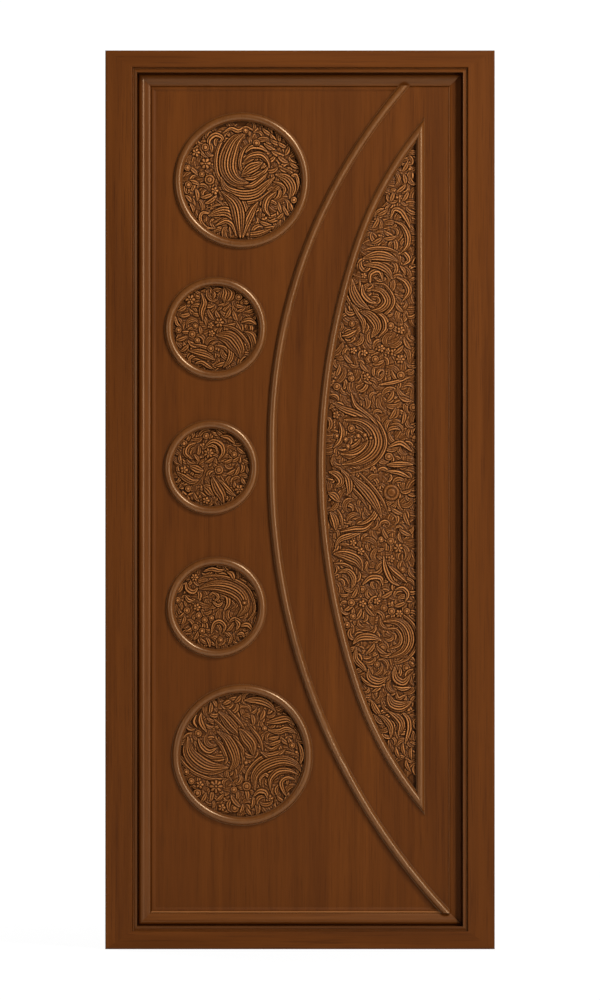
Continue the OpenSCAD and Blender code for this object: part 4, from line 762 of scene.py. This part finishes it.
def bead_round(name, body, left, right, bottom, top, y, sections, woods):
    """Mitred beads along bottom, right, top and left, one a section, as far as there are sections.

    A section holds (inward, forward) in millimetres; woods are for the level and the upright beads."""
    co, faces, kinds = [], [], []
    corners = [(left, bottom, 1, 1), (right, bottom, -1, 1), (right, top, -1, -1), (left, top, 1, -1)]
    for k, section in enumerate(sections):
        n = len(section)
        start = len(co)
        for x, z, sx, sz in (corners[k], corners[(k + 1) % 4]):
            co += [((x + sx * u) * MM, (y - h) * MM, (z + sz * u) * MM) for u, h in section]
        faces += [(start + i, start + n + i, start + n + i + 1, start + i + 1) for i in range(n - 1)]
        kinds += [k % 2] * (n - 1)
    mesh = bpy.data.meshes.new(name)
    mesh.from_pydata(co, [], faces)
    mesh.polygons.foreach_set("use_smooth", [True] * len(faces))
    for wood_kind in woods:
        mesh.materials.append(wood_kind)
    mesh.polygons.foreach_set("material_index", kinds)
    obj = bpy.data.objects.new(name, mesh)
    bpy.context.collection.objects.link(obj)
    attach(obj, body)


jamb_front = box_mm("hinge_jamb")[0][1]
left_lo, left_hi = box_mm("border_left")
right_lo, right_hi = box_mm("border_right")
top_lo, top_hi = box_mm("border_top")
bottom_lo, bottom_hi = box_mm("border_bottom")

BORDER_INSET = 3.0  # border of the leaf from the opening
EDGE_W, EDGE_DROP = 10.5, 8.0  # sunk edge of the frame
QUIRK_W = 4.0  # groove at the foot of the border
LINE_R = 1.9  # round bead in that groove
open_left, open_right = left_lo[0] - BORDER_INSET, right_hi[0] + BORDER_INSET
open_bottom, open_top = bottom_lo[2] - BORDER_INSET, top_hi[2] + BORDER_INSET
edge = [(0, 7.6), (0.9, 4.0), (1.5, 2.4), (2.2, 2.2), (3.2, 2.6), (5.0, 3.5), (7.0, 4.5), (9.0, 5.4),
        (10.1, 5.8), (10.4, 5.0), (10.4, -1)]
bead_round("frame_edge_bead", "frame", open_left - EDGE_W, open_right + EDGE_W, open_bottom - EDGE_W,
           open_top + EDGE_W, jamb_front + EDGE_DROP, [edge] * 4, (level_border_wood, border_wood))
turns = np.linspace(-0.1, math.pi + 0.1, 9)
line = [(QUIRK_W / 2 - LINE_R * math.cos(a), LINE_R * math.sin(a)) for a in turns]
# The bottom bead carries a painted highlight in its wood; the right one is plain border wood
bead_round("border_line_bead", "leaf", left_hi[0], right_lo[0], bottom_hi[2], top_lo[2], left_hi[1],
           [line] * 2, (painted_highlight_line_wood, border_wood))


# Stage

WHITE_GLOW = 1.05  # a little over white, so that the background is clear of grey
SOFT_LIGHT = 0.18  # light from all round


def stage_floor(size):
    """A pale floor, almost plain white to the camera, so that only a faint shadow shows on it."""
    bpy.ops.mesh.primitive_plane_add(size=size, location=(0, 0, -0.0005))
    plane = bpy.context.object
    plane.name = "floor"
    mat = bpy.data.materials.new("floor")
    mat.use_nodes = True
    w = Wiring(mat.node_tree)
    shader = mat.node_tree.nodes["Principled BSDF"]
    shader.inputs["Base Color"].default_value = (0.85, 0.85, 0.85, 1)
    shader.inputs["Roughness"].default_value = 0.9
    glow = w.node("ShaderNodeEmission", {"Color": (1, 1, 1, 1), "Strength": WHITE_GLOW})
    seen = w.node("ShaderNodeLightPath").outputs["Is Camera Ray"]
    share = w.math("MULTIPLY", seen, 0.88)
    both = w.node("ShaderNodeMixShader", {0: share, 1: shader.outputs[0], 2: glow.outputs[0]})
    w.tree.links.new(both.outputs[0], mat.node_tree.nodes["Material Output"].inputs["Surface"])
    plane.data.materials.append(mat)


stage_floor(8)

world = bpy.data.worlds.new("studio")
bpy.context.scene.world = world
world.use_nodes = True
w = Wiring(world.node_tree)
world_out = world.node_tree.nodes["World Output"]
soft = world.node_tree.nodes["Background"]
soft.inputs["Color"].default_value = (1, 1, 1, 1)
soft.inputs["Strength"].default_value = SOFT_LIGHT
white = w.node("ShaderNodeBackground", {"Color": (1, 1, 1, 1), "Strength": WHITE_GLOW})
seen = w.node("ShaderNodeLightPath").outputs["Is Camera Ray"]
both = w.node("ShaderNodeMixShader", {0: seen, 1: soft.outputs[0], 2: white.outputs[0]})
w.tree.links.new(both.outputs[0], world_out.inputs["Surface"])


def area_light(name, place, target, wide, tall, power):
    """A flat lamp that faces a target."""
    data = bpy.data.lights.new(name, "AREA")
    data.shape = "RECTANGLE"
    data.size = wide
    data.size_y = tall
    data.energy = power
    lamp = bpy.data.objects.new(name, data)
    lamp.location = place
    lamp.rotation_mode = "QUATERNION"
    lamp.rotation_quaternion = (Vector(target) - Vector(place)).to_track_quat("-Z", "Y")
    bpy.context.collection.objects.link(lamp)


area_light("key", (2.6, -3.2, 4.7), (0, 0, 1.2), 1.0, 1.0, 194)
area_light("strip", (3.3, -4.9, 2.9), (0, 0, 1.2), 0.4, 4.6, 162)
area_light("fill", (-3.2, -2.6, 1.4), (0, 0, 1.0), 1.2, 1.2, 12)
area_light("back", (-2.4, 3.6, 3.6), (0, 0, 1.1), 1.4, 1.4, 150)
area_light("back_fill", (2.8, 3.4, 1.6), (0, 0, 1.0), 1.4, 1.4, 60)

# Camera: straight on, with a long lens, framed as the photograph is
VIEW_H = 2.3364  # height of the picture at the front of the frame
VIEW_Z = 1.0495
SENSOR = 36.0
LENS = 300.0
camera = bpy.data.cameras.new("camera")
camera.sensor_width = SENSOR
camera.lens = LENS
camera.clip_end = 200
view = bpy.data.objects.new("camera", camera)
front_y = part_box("hinge_jamb")[0][1]
view.location = (0.0, front_y - VIEW_H * LENS / SENSOR, VIEW_Z)
view.rotation_euler = (math.pi / 2, 0, 0)
bpy.context.collection.objects.link(view)
bpy.context.scene.camera = view
bpy.context.scene.view_settings.view_transform = "Standard"
